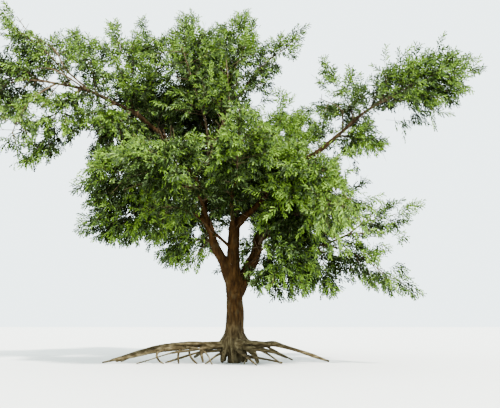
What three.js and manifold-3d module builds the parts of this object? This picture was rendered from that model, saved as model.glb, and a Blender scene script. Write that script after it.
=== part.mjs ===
// A marula tree, Sclerocarya birrea, in full leaf. Its trunk stands on roots that lie bare above the ground,
// forks low into a left, a middle and a right stem, and carries a wide, open, feathery crown.
// Places and sizes are in metres, measured from the middle of the flat cut under the trunk, with +Z up,
// +X to the right of the usual view and +Y away from it. The finished solids are in millimetres.
import * as THREE from "three";
import Module from "manifold-3d";

const wasm = await Module();
wasm.setup();

const place = (x, y, z) => new THREE.Vector3(x, y, z);

// Driving dimensions
const MM_PER_METRE = 1000;
const GAP = 0.0004; // clear space between two pieces that meet
const TRUNK_AXIS = [
  place(0, 0, 0), place(0, 0, 0.6), place(0.02, 0, 1.9),
  place(-0.03, 0, 2.8), place(-0.04, 0, 3.6), place(0, 0, 4.44),
];
const TRUNK_RADII = [
  { height: 0, radius: 0.21 }, { height: 0.25, radius: 0.21 }, { height: 0.5, radius: 0.31 },
  { height: 0.68, radius: 0.36 }, { height: 0.9, radius: 0.305 }, { height: 1.3, radius: 0.265 },
  { height: 1.9, radius: 0.25 }, { height: 2.45, radius: 0.275 }, { height: 3.0, radius: 0.225 },
  { height: 3.7, radius: 0.195 }, { height: 4.44, radius: 0.17 },
];
const COLLAR = { height: 0.58, spread: 0.2, swell: 0.13 }; // the trunk swells towards each root here

// Colours: grey-brown bark at the foot, redder bark above, pale roots, and three greens of leaf
const BARK = { trunk: 0x6f6252, bough: 0x6b5444, root: 0x84796a };
const LEAF_GREENS = [0x5d7a34, 0x6f8f45, 0x4f6d33];

// A bough or root is thicker where it leaves its parent, and then tapers nearly evenly
const JOINT_SWELL = 0.3; // as a share of its thick radius
const JOINT_LENGTH = 2.2; // how soon the swelling fades, in thick radii
const TAPER_POWER = 0.9;

// How finely the limbs are faceted
const TRUNK_SIDES = 14;
const TRUNK_RINGS = 15;
const BOUGH_SIDES = 6;
const ROOT_SIDES = 6;
const RING_SPACING = 0.5;
const LEAST_RINGS = 4;
const FACET_ROOM = 1.1; // a faceted bar is swollen this much more than a round one, for its corners

// The rule by which a mass of foliage branches from its stem
const SHORTEST_STEM = 0.4; // as a share of the way to the mass's far end
const STEM_ARCH = 0.05; // how far the stem arches up, as a share of its length
const STEM_RADIUS = 0.03;
const STEM_TIP_RADIUS = 0.018;
const STEM_SIDES = 4;
const STEM_PARTS = 3;
const TWIGS = 5;
const TWIG_RADIUS = 0.02;
const TWIG_TIP_RADIUS = 0.014;
const TWIG_SIDES = 3;
const FIRST_TWIG = 0.2; // share along the stem
const LAST_TWIG = 0.94;
const GOLDEN_TURN = THREE.MathUtils.degToRad(137.5);
const LEAN_LOW = THREE.MathUtils.degToRad(66); // between the stem and its first twig
const LEAN_HIGH = THREE.MathUtils.degToRad(40); // between the stem and its last twig
const TURN_PLAY = 0.9; // radians that a twig's turn may be off
const TRIES = 9; // turns tried before a twig or leaf is skipped
const FIRST_SEED = 1001;
const SEED_STEP = 37; // between the seeds of one mass and the next
const SPACE_EDGE = 1.02; // how far out of its egg-shaped space a leaf's tip may be, as a share
const LEAST_TWIG = 0.25;
const LEAF_LENGTH = 1.15; // each leaf stands for a whole spray
const LEAF_WIDTH = 0.42;
const LEAF_THICKNESS = 0.03;
const LEAF_WIDEST = 0.5; // share along the leaf
const LEAF_REACH = 0.4 * LEAF_WIDTH; // to each side of its axis, kept clear of what is outside its mass
const LEAF_SUNK = 0.025; // how far back from its twig's tip a leaf starts
const ROOT_SUNK = 0.005; // how far a leaf's root is sunk past its twig's axis
const TIP_ROOM = 0.92; // where a twig ends, in leaf lengths from the edge of its space
const SIDE_LEAF = 0.6; // share along a twig at which its side leaf grows
const LEAN_STEP = 0.12; // radians that a tip leaf leans further at each try
const SIDE_LEAN = THREE.MathUtils.degToRad(48); // between a twig and its side leaf
const CLEARANCE = 0.012; // between a leaf or twig and anything outside its mass
const LEAVES_APART = 0.16; // between the outer parts of two leaves of one mass
const OUTER_PART = 0.35; // where a leaf's outer part starts, as a share of its length

// Main boughs, in the order they are built. Each starts on the axis of the limb it grows from, at a share
// of the way along it.
const BOUGHS = [
  {
    name: "left_stem", from: "trunk", share: 0.5, thick: 0.17, thin: 0.06,
    via: [place(-0.7, -0.15, 3.82), place(-1.02, 0, 5.44)], tip: place(-0.81, 0.8, 7.67),
  },
  {
    name: "right_stem", from: "trunk", share: 0.44, thick: 0.2, thin: 0.12,
    via: [place(0.59, 0.3, 3.16), place(0.87, 0.7, 4.22)], tip: place(1.2, 1.3, 5.36),
  },
  {
    name: "left_arm", from: "left_stem", share: 0.66, thick: 0.095, thin: 0.034,
    via: [place(-2.21, 0.1, 7.1), place(-3.36, -0.3, 8.06), place(-4.79, -0.8, 8.66)],
    tip: place(-5.82, -1, 8.84),
  },
  {
    name: "right_arm", from: "trunk", share: 0.96, thick: 0.115, thin: 0.042,
    via: [place(0.75, -0.3, 4.97), place(1.84, -0.7, 6), place(2.93, -0.9, 6.77)], tip: place(4.17, -1, 7.85),
  },
  {
    name: "right_middle", from: "right_stem", share: 0.58, thick: 0.085, thin: 0.03,
    via: [place(1.55, 0.2, 4.21), place(2.17, -0.1, 3.89), place(2.76, -0.3, 3.64)],
    tip: place(3.61, -0.4, 3.95),
  },
  {
    name: "left_low", from: "trunk", share: 0.78, thick: 0.06, thin: 0.03,
    via: [place(-0.62, -0.45, 4), place(-1.15, -0.6, 4.49)], tip: place(-1.76, -0.8, 4.74),
  },
  {
    name: "left_shelf", from: "left_stem", share: 0.59, thick: 0.06, thin: 0.03,
    via: [place(-1.5, -0.7, 5.45)], tip: place(-2.33, -1.4, 5.74),
  },
  {
    name: "front_left", from: "left_stem", share: 0.46, thick: 0.06, thin: 0.03,
    via: [place(-1.04, -1.2, 4.91)], tip: place(-1.35, -2.4, 5.23),
  },
  {
    name: "top_left", from: "left_stem", share: 0.94, thick: 0.045, thin: 0.026,
    via: [place(-1.37, 0.9, 8.57)], tip: place(-1.92, 0.6, 9.28),
  },
  {
    name: "top_right", from: "left_stem", share: 0.9, thick: 0.05, thin: 0.028,
    via: [place(-0.41, 0.5, 8.22)], tip: place(0.25, 0.2, 9.06),
  },
  {
    name: "back_top", from: "left_stem", share: 0.78, thick: 0.05, thin: 0.03,
    via: [place(-1.03, 1.5, 7.37)], tip: place(-1.21, 2.6, 8.7),
  },
  {
    name: "front_middle", from: "trunk", share: 0.9, thick: 0.07, thin: 0.034,
    via: [place(-0.09, -1, 4.86)], tip: place(0.12, -2.3, 5.37),
  },
  {
    name: "right_hang", from: "right_stem", share: 0.27, thick: 0.055, thin: 0.03,
    via: [place(0.78, -0.45, 3.38)], tip: place(1.02, -1.15, 3.5),
  },
  {
    name: "back_left", from: "left_stem", share: 0.37, thick: 0.065, thin: 0.034,
    via: [place(-1.25, 1.6, 4.87)], tip: place(-1.97, 3.1, 5.79),
  },
  {
    name: "back_middle", from: "trunk", share: 0.87, thick: 0.075, thin: 0.034,
    via: [place(0.04, 1.5, 4.86)], tip: place(-0.04, 3, 5.92),
  },
  {
    name: "back_right", from: "right_stem", share: 0.7, thick: 0.07, thin: 0.034,
    via: [place(1.52, 2.2, 5.06)], tip: place(2.3, 3.5, 5.76),
  },
];

// Bare roots. Each starts inside the trunk's collar, or on another root, and runs out to the ground.
const ROOTS = [
  {
    name: "left_long", start: place(-0.1, -0.05, 0.58), thick: 0.115, thin: 0.045,
    via: [place(-0.95, -0.15, 0.56), place(-2.2, -0.2, 0.37), place(-3.3, -0.3, 0.18)],
    tip: place(-4, -0.4, 0.03),
  },
  {
    name: "left_back", start: place(-0.08, 0.12, 0.55), thick: 0.085, thin: 0.035,
    via: [place(-1.4, 0.45, 0.54), place(-2.8, 0.8, 0.38)], tip: place(-4.1, 1.2, 0.02),
  },
  {
    name: "left_prop", from: "left_long", share: 0.25, thick: 0.07, thin: 0.045,
    via: [place(-0.98, -0.3, 0.3)], tip: place(-0.92, -0.42, 0.02),
  },
  {
    name: "front", start: place(0.03, -0.1, 0.45), thick: 0.075, thin: 0.03,
    via: [place(0.33, -0.75, 0.27)], tip: place(0.7, -1.5, 0.02),
  },
  {
    name: "right_long", start: place(0.1, 0, 0.6), thick: 0.115, thin: 0.045,
    via: [place(0.95, 0.05, 0.56), place(1.6, 0.1, 0.48)], tip: place(3, 0.25, 0.03),
  },
  {
    name: "right_arch", start: place(0.1, -0.06, 0.5), thick: 0.085, thin: 0.05,
    via: [place(0.56, -0.3, 0.44)], tip: place(0.74, -0.45, 0.03),
  },
  {
    name: "right_low", start: place(0.06, -0.06, 0.25), thick: 0.065, thin: 0.03,
    via: [place(0.7, -0.16, 0.16)], tip: place(1.5, -0.3, 0.02),
  },
  {
    name: "back_left", start: place(-0.06, 0.1, 0.55), thick: 0.12, thin: 0.045,
    via: [place(-0.75, 1.3, 0.42)], tip: place(-1.5, 2.8, 0.03),
  },
  {
    name: "back_right", start: place(0.06, 0.1, 0.55), thick: 0.11, thin: 0.045,
    via: [place(0.85, 1.1, 0.4)], tip: place(1.8, 2.4, 0.03),
  },
];

// Masses of foliage. Each fills an egg-shaped space from its stem's foot to its far end, as wide as "wide"
// from side to side and as deep as "deep" at right angles to that.
const MASSES = [
  { name: "left_end", from: "left_arm", share: 1, end: place(-8.85, -1.4, 8.64), wide: 2.6, deep: 2.4 },
  { name: "left_rise", from: "left_arm", share: 0.88, end: place(-7.7, -1.1, 11.3), wide: 2.0, deep: 1.5 },
  { name: "left_knoll", from: "left_arm", share: 0.71, end: place(-5.85, 0.4, 11.5), wide: 2.1, deep: 1.8 },
  { name: "left_crest", from: "left_arm", share: 0.48, end: place(-4.44, 0.2, 11.7), wide: 2.5, deep: 2.2 },
  { name: "left_droop", from: "left_arm", share: 0.8, end: place(-6.3, -1.7, 5.84), wide: 1.7, deep: 1.9 },
  { name: "left_under", from: "left_arm", share: 0.52, end: place(-4.3, -1.5, 5.95), wide: 1.9, deep: 1.6 },
  { name: "left_shelf", from: "left_shelf", share: 1, end: place(-4.7, -2.1, 5.15), wide: 2.7, deep: 1.9 },
  { name: "left_low", from: "left_low", share: 1, end: place(-4.8, -1.2, 4.1), wide: 2.4, deep: 1.8 },
  { name: "left_skirt", from: "left_stem", share: 0.3, end: place(-2.8, 1.3, 4.15), wide: 2.4, deep: 2.1 },
  { name: "front_left", from: "front_left", share: 1, end: place(-2.53, -4.2, 5.9), wide: 2.8, deep: 2.2 },
  { name: "top_left", from: "top_left", share: 1, end: place(-3.41, 0.4, 11.94), wide: 2.4, deep: 2.4 },
  { name: "top", from: "left_stem", share: 1, end: place(-1.76, 1, 12.6), wide: 2.5, deep: 2.4 },
  { name: "top_right", from: "top_right", share: 0.93, end: place(0.21, 0.4, 12.3), wide: 2.3, deep: 2.1 },
  { name: "plume", from: "top_right", share: 1, end: place(2.49, -0.2, 11.35), wide: 1.3, deep: 1.1 },
  { name: "back_top", from: "back_top", share: 1, end: place(-1.46, 4, 12), wide: 3.2, deep: 2.8 },
  { name: "front_middle", from: "front_middle", share: 1, end: place(0.23, -4.4, 6.7), wide: 2.5, deep: 2.1 },
  { name: "heart", from: "trunk", share: 1, end: place(-1.1, 1.5, 8.1), wide: 2.9, deep: 2.8 },
  { name: "right_inner", from: "right_arm", share: 0.38, end: place(1.5, -1.6, 8.3), wide: 2.2, deep: 2.0 },
  { name: "arm_crest", from: "right_arm", share: 0.93, end: place(2.9, -0.5, 9.9), wide: 1.8, deep: 1.7 },
  { name: "right_end", from: "right_arm", share: 1, end: place(8.07, -1.3, 9.38), wide: 2.4, deep: 2.2 },
  { name: "arm_under", from: "right_arm", share: 0.82, end: place(4.8, -1.7, 6.3), wide: 1.5, deep: 1.3 },
  { name: "front_right", from: "right_arm", share: 0.3, end: place(3, -3.6, 5.6), wide: 2.9, deep: 2.3 },
  { name: "right_main", from: "right_stem", share: 0.62, end: place(3.5, 1.7, 5.9), wide: 3.0, deep: 3.0 },
  { name: "right_outer", from: "right_middle", share: 0.38, end: place(4.3, -1, 5.6), wide: 2.2, deep: 1.9 },
  { name: "right_shelf", from: "right_middle", share: 1, end: place(5.94, -0.7, 4.95), wide: 1.2, deep: 1 },
  { name: "right_mid", from: "right_middle", share: 0.97, end: place(5.3, -1, 3.8), wide: 1.5, deep: 1.1 },
  { name: "right_low", from: "right_middle", share: 0.76, end: place(5.5, -1.5, 2.1), wide: 1.7, deep: 1.3 },
  { name: "right_skirt", from: "right_middle", share: 0.7, end: place(2.9, -1.4, 2), wide: 2, deep: 1.6 },
  { name: "right_hang", from: "right_hang", share: 1, end: place(2.05, -2.4, 2.2), wide: 2.6, deep: 2.3 },
  { name: "back_left", from: "back_left", share: 1, end: place(-4, 5.4, 6.6), wide: 3.2, deep: 2.5 },
  { name: "back_middle", from: "back_middle", share: 1, end: place(0.05, 6, 7.8), wide: 3.2, deep: 2.6 },
  { name: "back_right", from: "back_right", share: 1, end: place(4.3, 5.6, 6.5), wide: 3.2, deep: 2.5 },
  { name: "high_left", from: "left_arm", share: 0.28, end: place(-3.7, 3.3, 10.2), wide: 3.4, deep: 2.8 },
  { name: "high_right", from: "right_stem", share: 1, end: place(2.7, 3.4, 9.6), wide: 3.0, deep: 2.7 },
];

// A stream of even random numbers between 0 and 1, the same on every run
function seeded(seed) {
  let state = seed >>> 0;
  return () => {
    state = (state + 0x6d2b79f5) >>> 0;
    let mixed = Math.imul(state ^ (state >>> 15), state | 1);
    mixed ^= mixed + Math.imul(mixed ^ (mixed >>> 7), mixed | 61);
    return ((mixed ^ (mixed >>> 14)) >>> 0) / 4294967296;
  };
}

// A place on the smooth curve through a limb's named places, at a share of the way along it
function onCurve(places, share) {
  const last = places.length - 1;
  const span = Math.min(Math.floor(share * last), last - 1);
  const step = share * last - span;
  const slope = (index) => {
    const before = places[Math.max(index - 1, 0)];
    const after = places[Math.min(index + 1, last)];
    const scale = index === 0 || index === last ? 1 : 0.5;
    return after.clone().sub(before).multiplyScalar(scale);
  };
  const squared = step * step;
  const cubed = squared * step;
  return new THREE.Vector3()
    .addScaledVector(places[span], 2 * cubed - 3 * squared + 1)
    .addScaledVector(slope(span), cubed - 2 * squared + step)
    .addScaledVector(places[span + 1], 3 * squared - 2 * cubed)
    .addScaledVector(slope(span + 1), cubed - squared);
}

// Straight-line interpolation of the trunk's radius at a height
function trunkRadius(height) {
  const upper = Math.max(1, TRUNK_RADII.findIndex((row) => row.height >= height - 1e-9));
  const below = TRUNK_RADII[upper - 1];
  const above = TRUNK_RADII[upper];
  const share = (height - below.height) / (above.height - below.height);
  return THREE.MathUtils.lerp(below.radius, above.radius, share);
}

// Two unit vectors square to each other and to a limb's first direction, and then carried along its axis
function frames(axis) {
  const list = [];
  let side = new THREE.Vector3(0, 1, 0);
  for (let index = 0; index < axis.length; index += 1) {
    const before = axis[Math.max(index - 1, 0)];
    const after = axis[Math.min(index + 1, axis.length - 1)];
    const along = after.clone().sub(before).normalize();
    side.addScaledVector(along, -side.dot(along));
    if (side.length() < 0.1) {
      side = new THREE.Vector3(1, 0, 0).addScaledVector(along, -along.x);
    }
    side.normalize();
    list.push({ along, side: side.clone(), lift: along.clone().cross(side) });
  }
  return list;
}

// A closed solid from a grid of rings, each ring a list of places, with a flat cap across each end
function solidFromRings(rings) {
  const sides = rings[0].length;
  const triangles = [];
  for (let ring = 0; ring < rings.length - 1; ring += 1) {
    for (let side = 0; side < sides; side += 1) {
      const here = ring * sides + side;
      const next = ring * sides + ((side + 1) % sides);
      triangles.push(here, next, next + sides, here, next + sides, here + sides);
    }
  }
  const top = (rings.length - 1) * sides;
  for (let side = 1; side < sides - 1; side += 1) {
    triangles.push(0, side + 1, side, top, top + side, top + side + 1);
  }
  return solid(rings.flat(), triangles);
}

function solid(places, triangles) {
  const numbers = places.flatMap((one) => one.clone().multiplyScalar(MM_PER_METRE).toArray());
  const vertProperties = new Float32Array(numbers);
  const mesh = new wasm.Mesh({ numProp: 3, vertProperties, triVerts: new Uint32Array(triangles) });
  return new wasm.Manifold(mesh);
}

// One tapering limb swept along its axis. "swell" makes it thicker all round and at both ends.
function sweep(limb, swell = 0) {
  const rings = frames(limb.axis).map(({ along, side, lift }, index) => {
    const centre = limb.axis[index].clone();
    if (index === 0) centre.addScaledVector(along, -swell);
    if (index === limb.axis.length - 1) centre.addScaledVector(along, swell);
    return Array.from({ length: limb.sides }, (_, corner) => {
      const turn = (corner / limb.sides) * Math.PI * 2;
      const radius = limb.radius(index, turn) + swell * FACET_ROOM;
      const spot = centre.clone();
      spot.addScaledVector(side, Math.cos(turn) * radius);
      spot.addScaledVector(lift, Math.sin(turn) * radius);
      if (limb.onGround) spot.z = limb.axis[index].z === 0 ? 0 : Math.max(spot.z, 0);
      return spot;
    });
  });
  return solidFromRings(rings);
}

// The largest body of a solid, without loose scraps
function largest(whole) {
  return whole.decompose().reduce((best, body) => (body.volume() > best.volume() ? body : best));
}

// Each limb's axis with its radii, under its mesh's name, and the round bars that foliage keeps clear of
const limbs = new Map();
const taken = [];
const meshName = (kind, name) => (name === "trunk" ? name : `${kind}_${name}`);

function keepClearOf(owner, axis, radiusAt) {
  for (let index = 0; index < axis.length - 1; index += 1) {
    const radius = Math.max(radiusAt(index), radiusAt(index + 1));
    taken.push({ owner, from: axis[index], to: axis[index + 1], radius });
  }
}

function addLimb(name, axis, sides, radius, onGround = false) {
  const limb = { name, axis, sides, radius, onGround };
  limbs.set(name, limb);
  keepClearOf(name, axis, (index) => radius(index, 0));
  return limb;
}

function addTrunk() {
  const shares = Array.from({ length: TRUNK_RINGS + 1 }, (_, index) => index / TRUNK_RINGS);
  const axis = shares.map((share) => onCurve(TRUNK_AXIS, share));
  const towardsRoots = ROOTS.filter((root) => root.start).map((root) => {
    const away = root.via[0].clone().sub(root.start);
    return Math.atan2(away.y, away.x);
  });
  const radius = (index, turn) => {
    const height = axis[index].z;
    const lobe = Math.exp(-(((height - COLLAR.height) / COLLAR.spread) ** 2)) * COLLAR.swell;
    // A ring's corners are counted from +Y towards -X
    const heading = turn + Math.PI / 2;
    const pull = Math.max(0, ...towardsRoots.map((root) => Math.cos(heading - root))) ** 6;
    return trunkRadius(height) + lobe * pull;
  };
  return addLimb("trunk", axis, TRUNK_SIDES, radius, true);
}

// The named places of a bough or root, from the one it leaves its parent at to its tip
function limbPlaces(row, kind) {
  const parent = row.from ? limbs.get(meshName(kind, row.from)) : null;
  const start = parent ? onCurve(parent.axis, row.share) : row.start;
  return [start, ...row.via, row.tip];
}

// A limb's radius tapers from thick to thin, with a collar where it leaves its parent
function taper(row, share, length) {
  const collar = JOINT_SWELL * row.thick * Math.exp((-share * length) / (row.thick * JOINT_LENGTH));
  return row.thin + (row.thick - row.thin) * (1 - share) ** TAPER_POWER + collar;
}

function addTapering(row, kind, sides, onGround) {
  const places = limbPlaces(row, kind);
  const length = places.slice(1).reduce((sum, one, index) => sum + one.distanceTo(places[index]), 0);
  const rings = Math.max(LEAST_RINGS, Math.round(length / RING_SPACING));
  const axis = Array.from({ length: rings + 1 }, (_, index) => onCurve(places, index / rings));
  const radius = (index) => taper(row, index / rings, length);
  return addLimb(meshName(kind, row.name), axis, sides, radius, onGround);
}

addTrunk();
BOUGHS.forEach((row) => addTapering(row, "bough", BOUGH_SIDES, false));
ROOTS.forEach((row) => addTapering(row, "root", ROOT_SIDES, true));

// Each limb's solid is cut clear of the limbs before it in the list
const solids = new Map();

function cutClear(shape, others) {
  return others.reduce((rest, other) => (touches(rest, other) ? rest.subtract(other) : rest), shape);
}

function touches(one, other) {
  const first = one.boundingBox();
  const second = other.boundingBox();
  return [0, 1, 2].every((way) => first.min[way] < second.max[way] && second.min[way] < first.max[way]);
}

const swollen = [];
limbs.forEach((limb, name) => {
  solids.set(name, largest(cutClear(sweep(limb), swollen)));
  swollen.push(sweep(limb, GAP));
});

// A mass's space is an egg-shaped ellipsoid: its middle, its three directions and its half sizes
function spaceOf(row) {
  const foot = onCurve(limbs.get(meshName("bough", row.from)).axis, row.share);
  const along = row.end.clone().sub(foot);
  const length = along.length();
  along.normalize();
  const across = new THREE.Vector3(along.y, -along.x, 0);
  if (across.length() < 0.25) across.set(0, 1, 0);
  across.addScaledVector(along, -across.dot(along)).normalize();
  const lift = across.clone().cross(along);
  if (lift.z < 0) lift.negate();
  const middle = foot.clone().lerp(row.end, 0.5);
  return { foot, along, across, lift, length, middle, half: [length / 2, row.wide / 2, row.deep / 2] };
}

// A place in a space's own measure, in which the space is a ball of radius 1
function inSpace(space, spot) {
  const offset = spot.clone().sub(space.middle);
  const ways = [space.along, space.across, space.lift];
  return new THREE.Vector3(...ways.map((way, index) => offset.dot(way) / space.half[index]));
}

// The distance from a place, along a direction, to the edge of a space
function reachOf(space, spot, direction) {
  const here = inSpace(space, spot);
  const step = inSpace(space, spot.clone().add(direction)).sub(here);
  const a = step.dot(step);
  const b = here.dot(step);
  const c = here.dot(here) - 1;
  return (-b + Math.sqrt(Math.max(b * b - a * c, 0))) / a;
}

const masses = MASSES.map((row, index) => ({
  name: meshName("foliage", row.name),
  space: spaceOf(row),
  green: LEAF_GREENS[index % LEAF_GREENS.length],
  random: seeded(FIRST_SEED + SEED_STEP * index),
  leaves: [],
}));

// Whether a place belongs to a mass's space, and lies deeper in it than in any other
function owns(mass, spot) {
  const depth = inSpace(mass.space, spot).length();
  const isDeepest = masses.every((other) => other === mass || inSpace(other.space, spot).length() > depth);
  return depth < SPACE_EDGE && isDeepest;
}

// The least distance between two straight pieces
function between(a, b, c, d) {
  const first = b.clone().sub(a);
  const second = d.clone().sub(c);
  const offset = a.clone().sub(c);
  const clamp = (value) => Math.min(Math.max(value, 0), 1);
  const aa = first.dot(first);
  const bb = second.dot(second);
  const ab = first.dot(second);
  const ao = first.dot(offset);
  const bo = second.dot(offset);
  const square = aa * bb - ab * ab;
  let along = square > 1e-9 ? clamp((ab * bo - ao * bb) / square) : 0;
  const other = clamp((ab * along + bo) / bb);
  along = clamp((ab * other - ao) / aa);
  return a.clone().addScaledVector(first, along).distanceTo(c.clone().addScaledVector(second, other));
}

function isClear(owner, from, to, radius) {
  return taken.every((one) => one.owner === owner
    || between(from, to, one.from, one.to) > radius + one.radius + CLEARANCE);
}

// Whether a leaf's outer part stays away from those of the other leaves of its mass
function isApart(mass, root, tip) {
  const from = root.clone().lerp(tip, OUTER_PART);
  return mass.leaves.every((leaf) => between(from, tip, leaf.from, leaf.tip) > LEAVES_APART);
}

// The stem that a mass branches from
function stemOf(mass) {
  const { foot, along, lift, length } = mass.space;
  const stemLength = Math.max(length - LEAF_LENGTH, length * SHORTEST_STEM);
  const axis = Array.from({ length: STEM_PARTS + 1 }, (_, index) => {
    const share = index / STEM_PARTS;
    const arch = STEM_ARCH * length * 4 * share * (1 - share);
    return foot.clone().addScaledVector(along, share * stemLength).addScaledVector(lift, arch);
  });
  const radius = (index) => THREE.MathUtils.lerp(STEM_RADIUS, STEM_TIP_RADIUS, index / STEM_PARTS);
  return { axis, sides: STEM_SIDES, radius };
}

// A leaf of eight faces: a flat blade with a point at each end, widest before its middle
function leafSolid(root, direction, roll) {
  const across = new THREE.Vector3(direction.y, -direction.x, 0);
  if (across.length() < 0.05) across.set(1, 0, 0);
  across.normalize().applyAxisAngle(direction, roll);
  const over = direction.clone().cross(across);
  const waist = root.clone().addScaledVector(direction, LEAF_LENGTH * LEAF_WIDEST);
  const corners = [
    root,
    root.clone().addScaledVector(direction, LEAF_LENGTH),
    waist.clone().addScaledVector(across, LEAF_WIDTH / 2),
    waist.clone().addScaledVector(over, LEAF_THICKNESS / 2),
    waist.clone().addScaledVector(across, -LEAF_WIDTH / 2),
    waist.clone().addScaledVector(over, -LEAF_THICKNESS / 2),
  ];
  const triangles = [];
  for (let side = 0; side < 4; side += 1) {
    const here = 2 + side;
    const next = 2 + ((side + 1) % 4);
    triangles.push(0, next, here, 1, here, next);
  }
  return solid(corners, triangles);
}

// Where the axis of a leaf or twig may go: the first of several turns that stays in the mass's own space
// and clear of every limb and of the other masses
function findWay(mass, root, radius, length, suggest, suits = () => true) {
  for (let attempt = 0; attempt < TRIES; attempt += 1) {
    const direction = suggest(attempt).normalize();
    const tip = root.clone().addScaledVector(direction, length(direction));
    if (owns(mass, tip) && suits(tip) && isClear(mass.name, root, tip, radius)) return { direction, tip };
  }
  return null;
}

function growLeaf(mass, root, suggest, pieces) {
  const suits = (tip) => isApart(mass, root, tip);
  const way = findWay(mass, root, LEAF_REACH, () => LEAF_LENGTH, suggest, suits);
  if (!way) return;
  mass.leaves.push({ from: root.clone().lerp(way.tip, OUTER_PART), tip: way.tip });
  const sunk = root.clone().addScaledVector(way.direction, -ROOT_SUNK);
  pieces.push(leafSolid(sunk, way.direction, (mass.random() - 0.5) * Math.PI));
  keepClearOf(mass.name, [root, way.tip], () => LEAF_REACH);
}

// A direction that leans away from "along" by an angle, at a turn about it
function leaning(along, side, lift, lean, turn) {
  return along.clone().multiplyScalar(Math.cos(lean))
    .addScaledVector(side, Math.sin(lean) * Math.cos(turn))
    .addScaledVector(lift, Math.sin(lean) * Math.sin(turn));
}

function growTwig(mass, stem, number, pieces) {
  const { along, across, lift } = mass.space;
  const share = THREE.MathUtils.lerp(FIRST_TWIG, LAST_TWIG, number / (TWIGS - 1));
  const root = onCurve(stem.axis, share);
  const lean = THREE.MathUtils.lerp(LEAN_LOW, LEAN_HIGH, share);
  const turn = number * GOLDEN_TURN + mass.random();
  const play = () => (mass.random() - 0.5) * 2 * TURN_PLAY;
  const reach = (direction) => {
    const edge = reachOf(mass.space, root, direction);
    return Math.max(LEAST_TWIG, edge - LEAF_LENGTH * TIP_ROOM);
  };
  const suggest = () => leaning(along, across, lift, lean, turn + play());
  const way = findWay(mass, root, TWIG_RADIUS, reach, suggest);
  if (!way) return;
  const axis = [root, way.tip];
  const radius = (index) => (index === 0 ? TWIG_RADIUS : TWIG_TIP_RADIUS);
  pieces.push(sweep({ axis, sides: TWIG_SIDES, radius }));
  keepClearOf(mass.name, axis, radius);
  const [{ along: onward, side, lift: over }] = frames(axis);
  const nearTip = way.tip.clone().addScaledVector(onward, -LEAF_SUNK);
  const anyTurn = () => mass.random() * Math.PI * 2;
  growLeaf(mass, nearTip, (attempt) => leaning(onward, side, over, LEAN_STEP * attempt, anyTurn()), pieces);
  const beside = root.clone().lerp(way.tip, SIDE_LEAF);
  growLeaf(mass, beside, () => leaning(onward, side, over, SIDE_LEAN, anyTurn()), pieces);
}

function growMass(mass) {
  const stem = mass.stem;
  const pieces = [];
  for (let number = 0; number < TWIGS; number += 1) growTwig(mass, stem, number, pieces);
  const { along, across, lift } = mass.space;
  const tip = stem.axis.at(-1).clone().addScaledVector(along, -LEAF_SUNK);
  const anyTurn = () => mass.random() * Math.PI * 2;
  growLeaf(mass, tip, (attempt) => leaning(along, across, lift, LEAN_STEP * attempt, anyTurn()), pieces);
  return pieces.reduce((whole, piece) => whole.add(piece), stem.solid);
}

// The stems come first, so that every twig and leaf keeps clear of all of them
masses.forEach((mass) => {
  mass.stem = stemOf(mass);
  mass.stem.solid = largest(cutClear(sweep(mass.stem), swollen));
  swollen.push(sweep(mass.stem, GAP));
  keepClearOf(mass.name, mass.stem.axis, mass.stem.radius);
});
masses.forEach((mass) => solids.set(mass.name, largest(growMass(mass))));

function materialOf(name) {
  const mass = masses.find((one) => one.name === name);
  if (mass) return new THREE.MeshStandardMaterial({ color: mass.green, roughness: 0.6, metalness: 0 });
  return new THREE.MeshStandardMaterial({ color: BARK[name.split("_")[0]], roughness: 0.92, metalness: 0 });
}

function meshOf(name, shape) {
  const { vertProperties, triVerts } = shape.getMesh();
  const geometry = new THREE.BufferGeometry();
  geometry.setAttribute("position", new THREE.BufferAttribute(vertProperties, 3));
  geometry.setIndex(new THREE.BufferAttribute(triVerts, 1));
  geometry.computeVertexNormals();
  const mesh = new THREE.Mesh(geometry, materialOf(name));
  mesh.name = name;
  return mesh;
}

const group = new THREE.Group();
solids.forEach((shape, name) => group.add(meshOf(name, shape)));

export default group;
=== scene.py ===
import math
import random

import bpy
import numpy as np
from mathutils.kdtree import KDTree
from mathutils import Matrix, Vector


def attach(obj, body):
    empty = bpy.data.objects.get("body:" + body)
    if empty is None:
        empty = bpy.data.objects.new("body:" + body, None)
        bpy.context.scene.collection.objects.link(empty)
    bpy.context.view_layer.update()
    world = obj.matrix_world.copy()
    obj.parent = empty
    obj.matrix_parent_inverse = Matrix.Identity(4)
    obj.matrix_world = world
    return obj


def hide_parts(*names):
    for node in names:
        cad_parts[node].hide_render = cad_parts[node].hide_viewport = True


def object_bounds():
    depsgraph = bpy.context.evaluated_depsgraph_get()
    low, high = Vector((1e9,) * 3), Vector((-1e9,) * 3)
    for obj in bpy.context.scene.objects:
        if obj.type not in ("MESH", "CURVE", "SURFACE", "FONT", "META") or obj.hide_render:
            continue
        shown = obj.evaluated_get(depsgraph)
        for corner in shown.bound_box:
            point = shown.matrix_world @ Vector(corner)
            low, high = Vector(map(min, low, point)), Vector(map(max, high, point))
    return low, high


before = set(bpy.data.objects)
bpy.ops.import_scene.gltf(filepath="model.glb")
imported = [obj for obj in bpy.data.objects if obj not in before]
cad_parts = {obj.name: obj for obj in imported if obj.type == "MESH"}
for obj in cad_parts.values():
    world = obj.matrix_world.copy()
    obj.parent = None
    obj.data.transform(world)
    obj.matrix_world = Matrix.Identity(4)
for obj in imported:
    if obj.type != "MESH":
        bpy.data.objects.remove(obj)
cad_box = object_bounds()

# A marula tree in full leaf, dressed around its plain solids. All places and sizes are in metres.
# The limbs and the masses of foliage repeat the part's own named places and its rule of growth, which
# goes on here to finer twigs, shoots and leaves. Only the long left root is slimmer than its solid,
# because other roots run beside it here.

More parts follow.
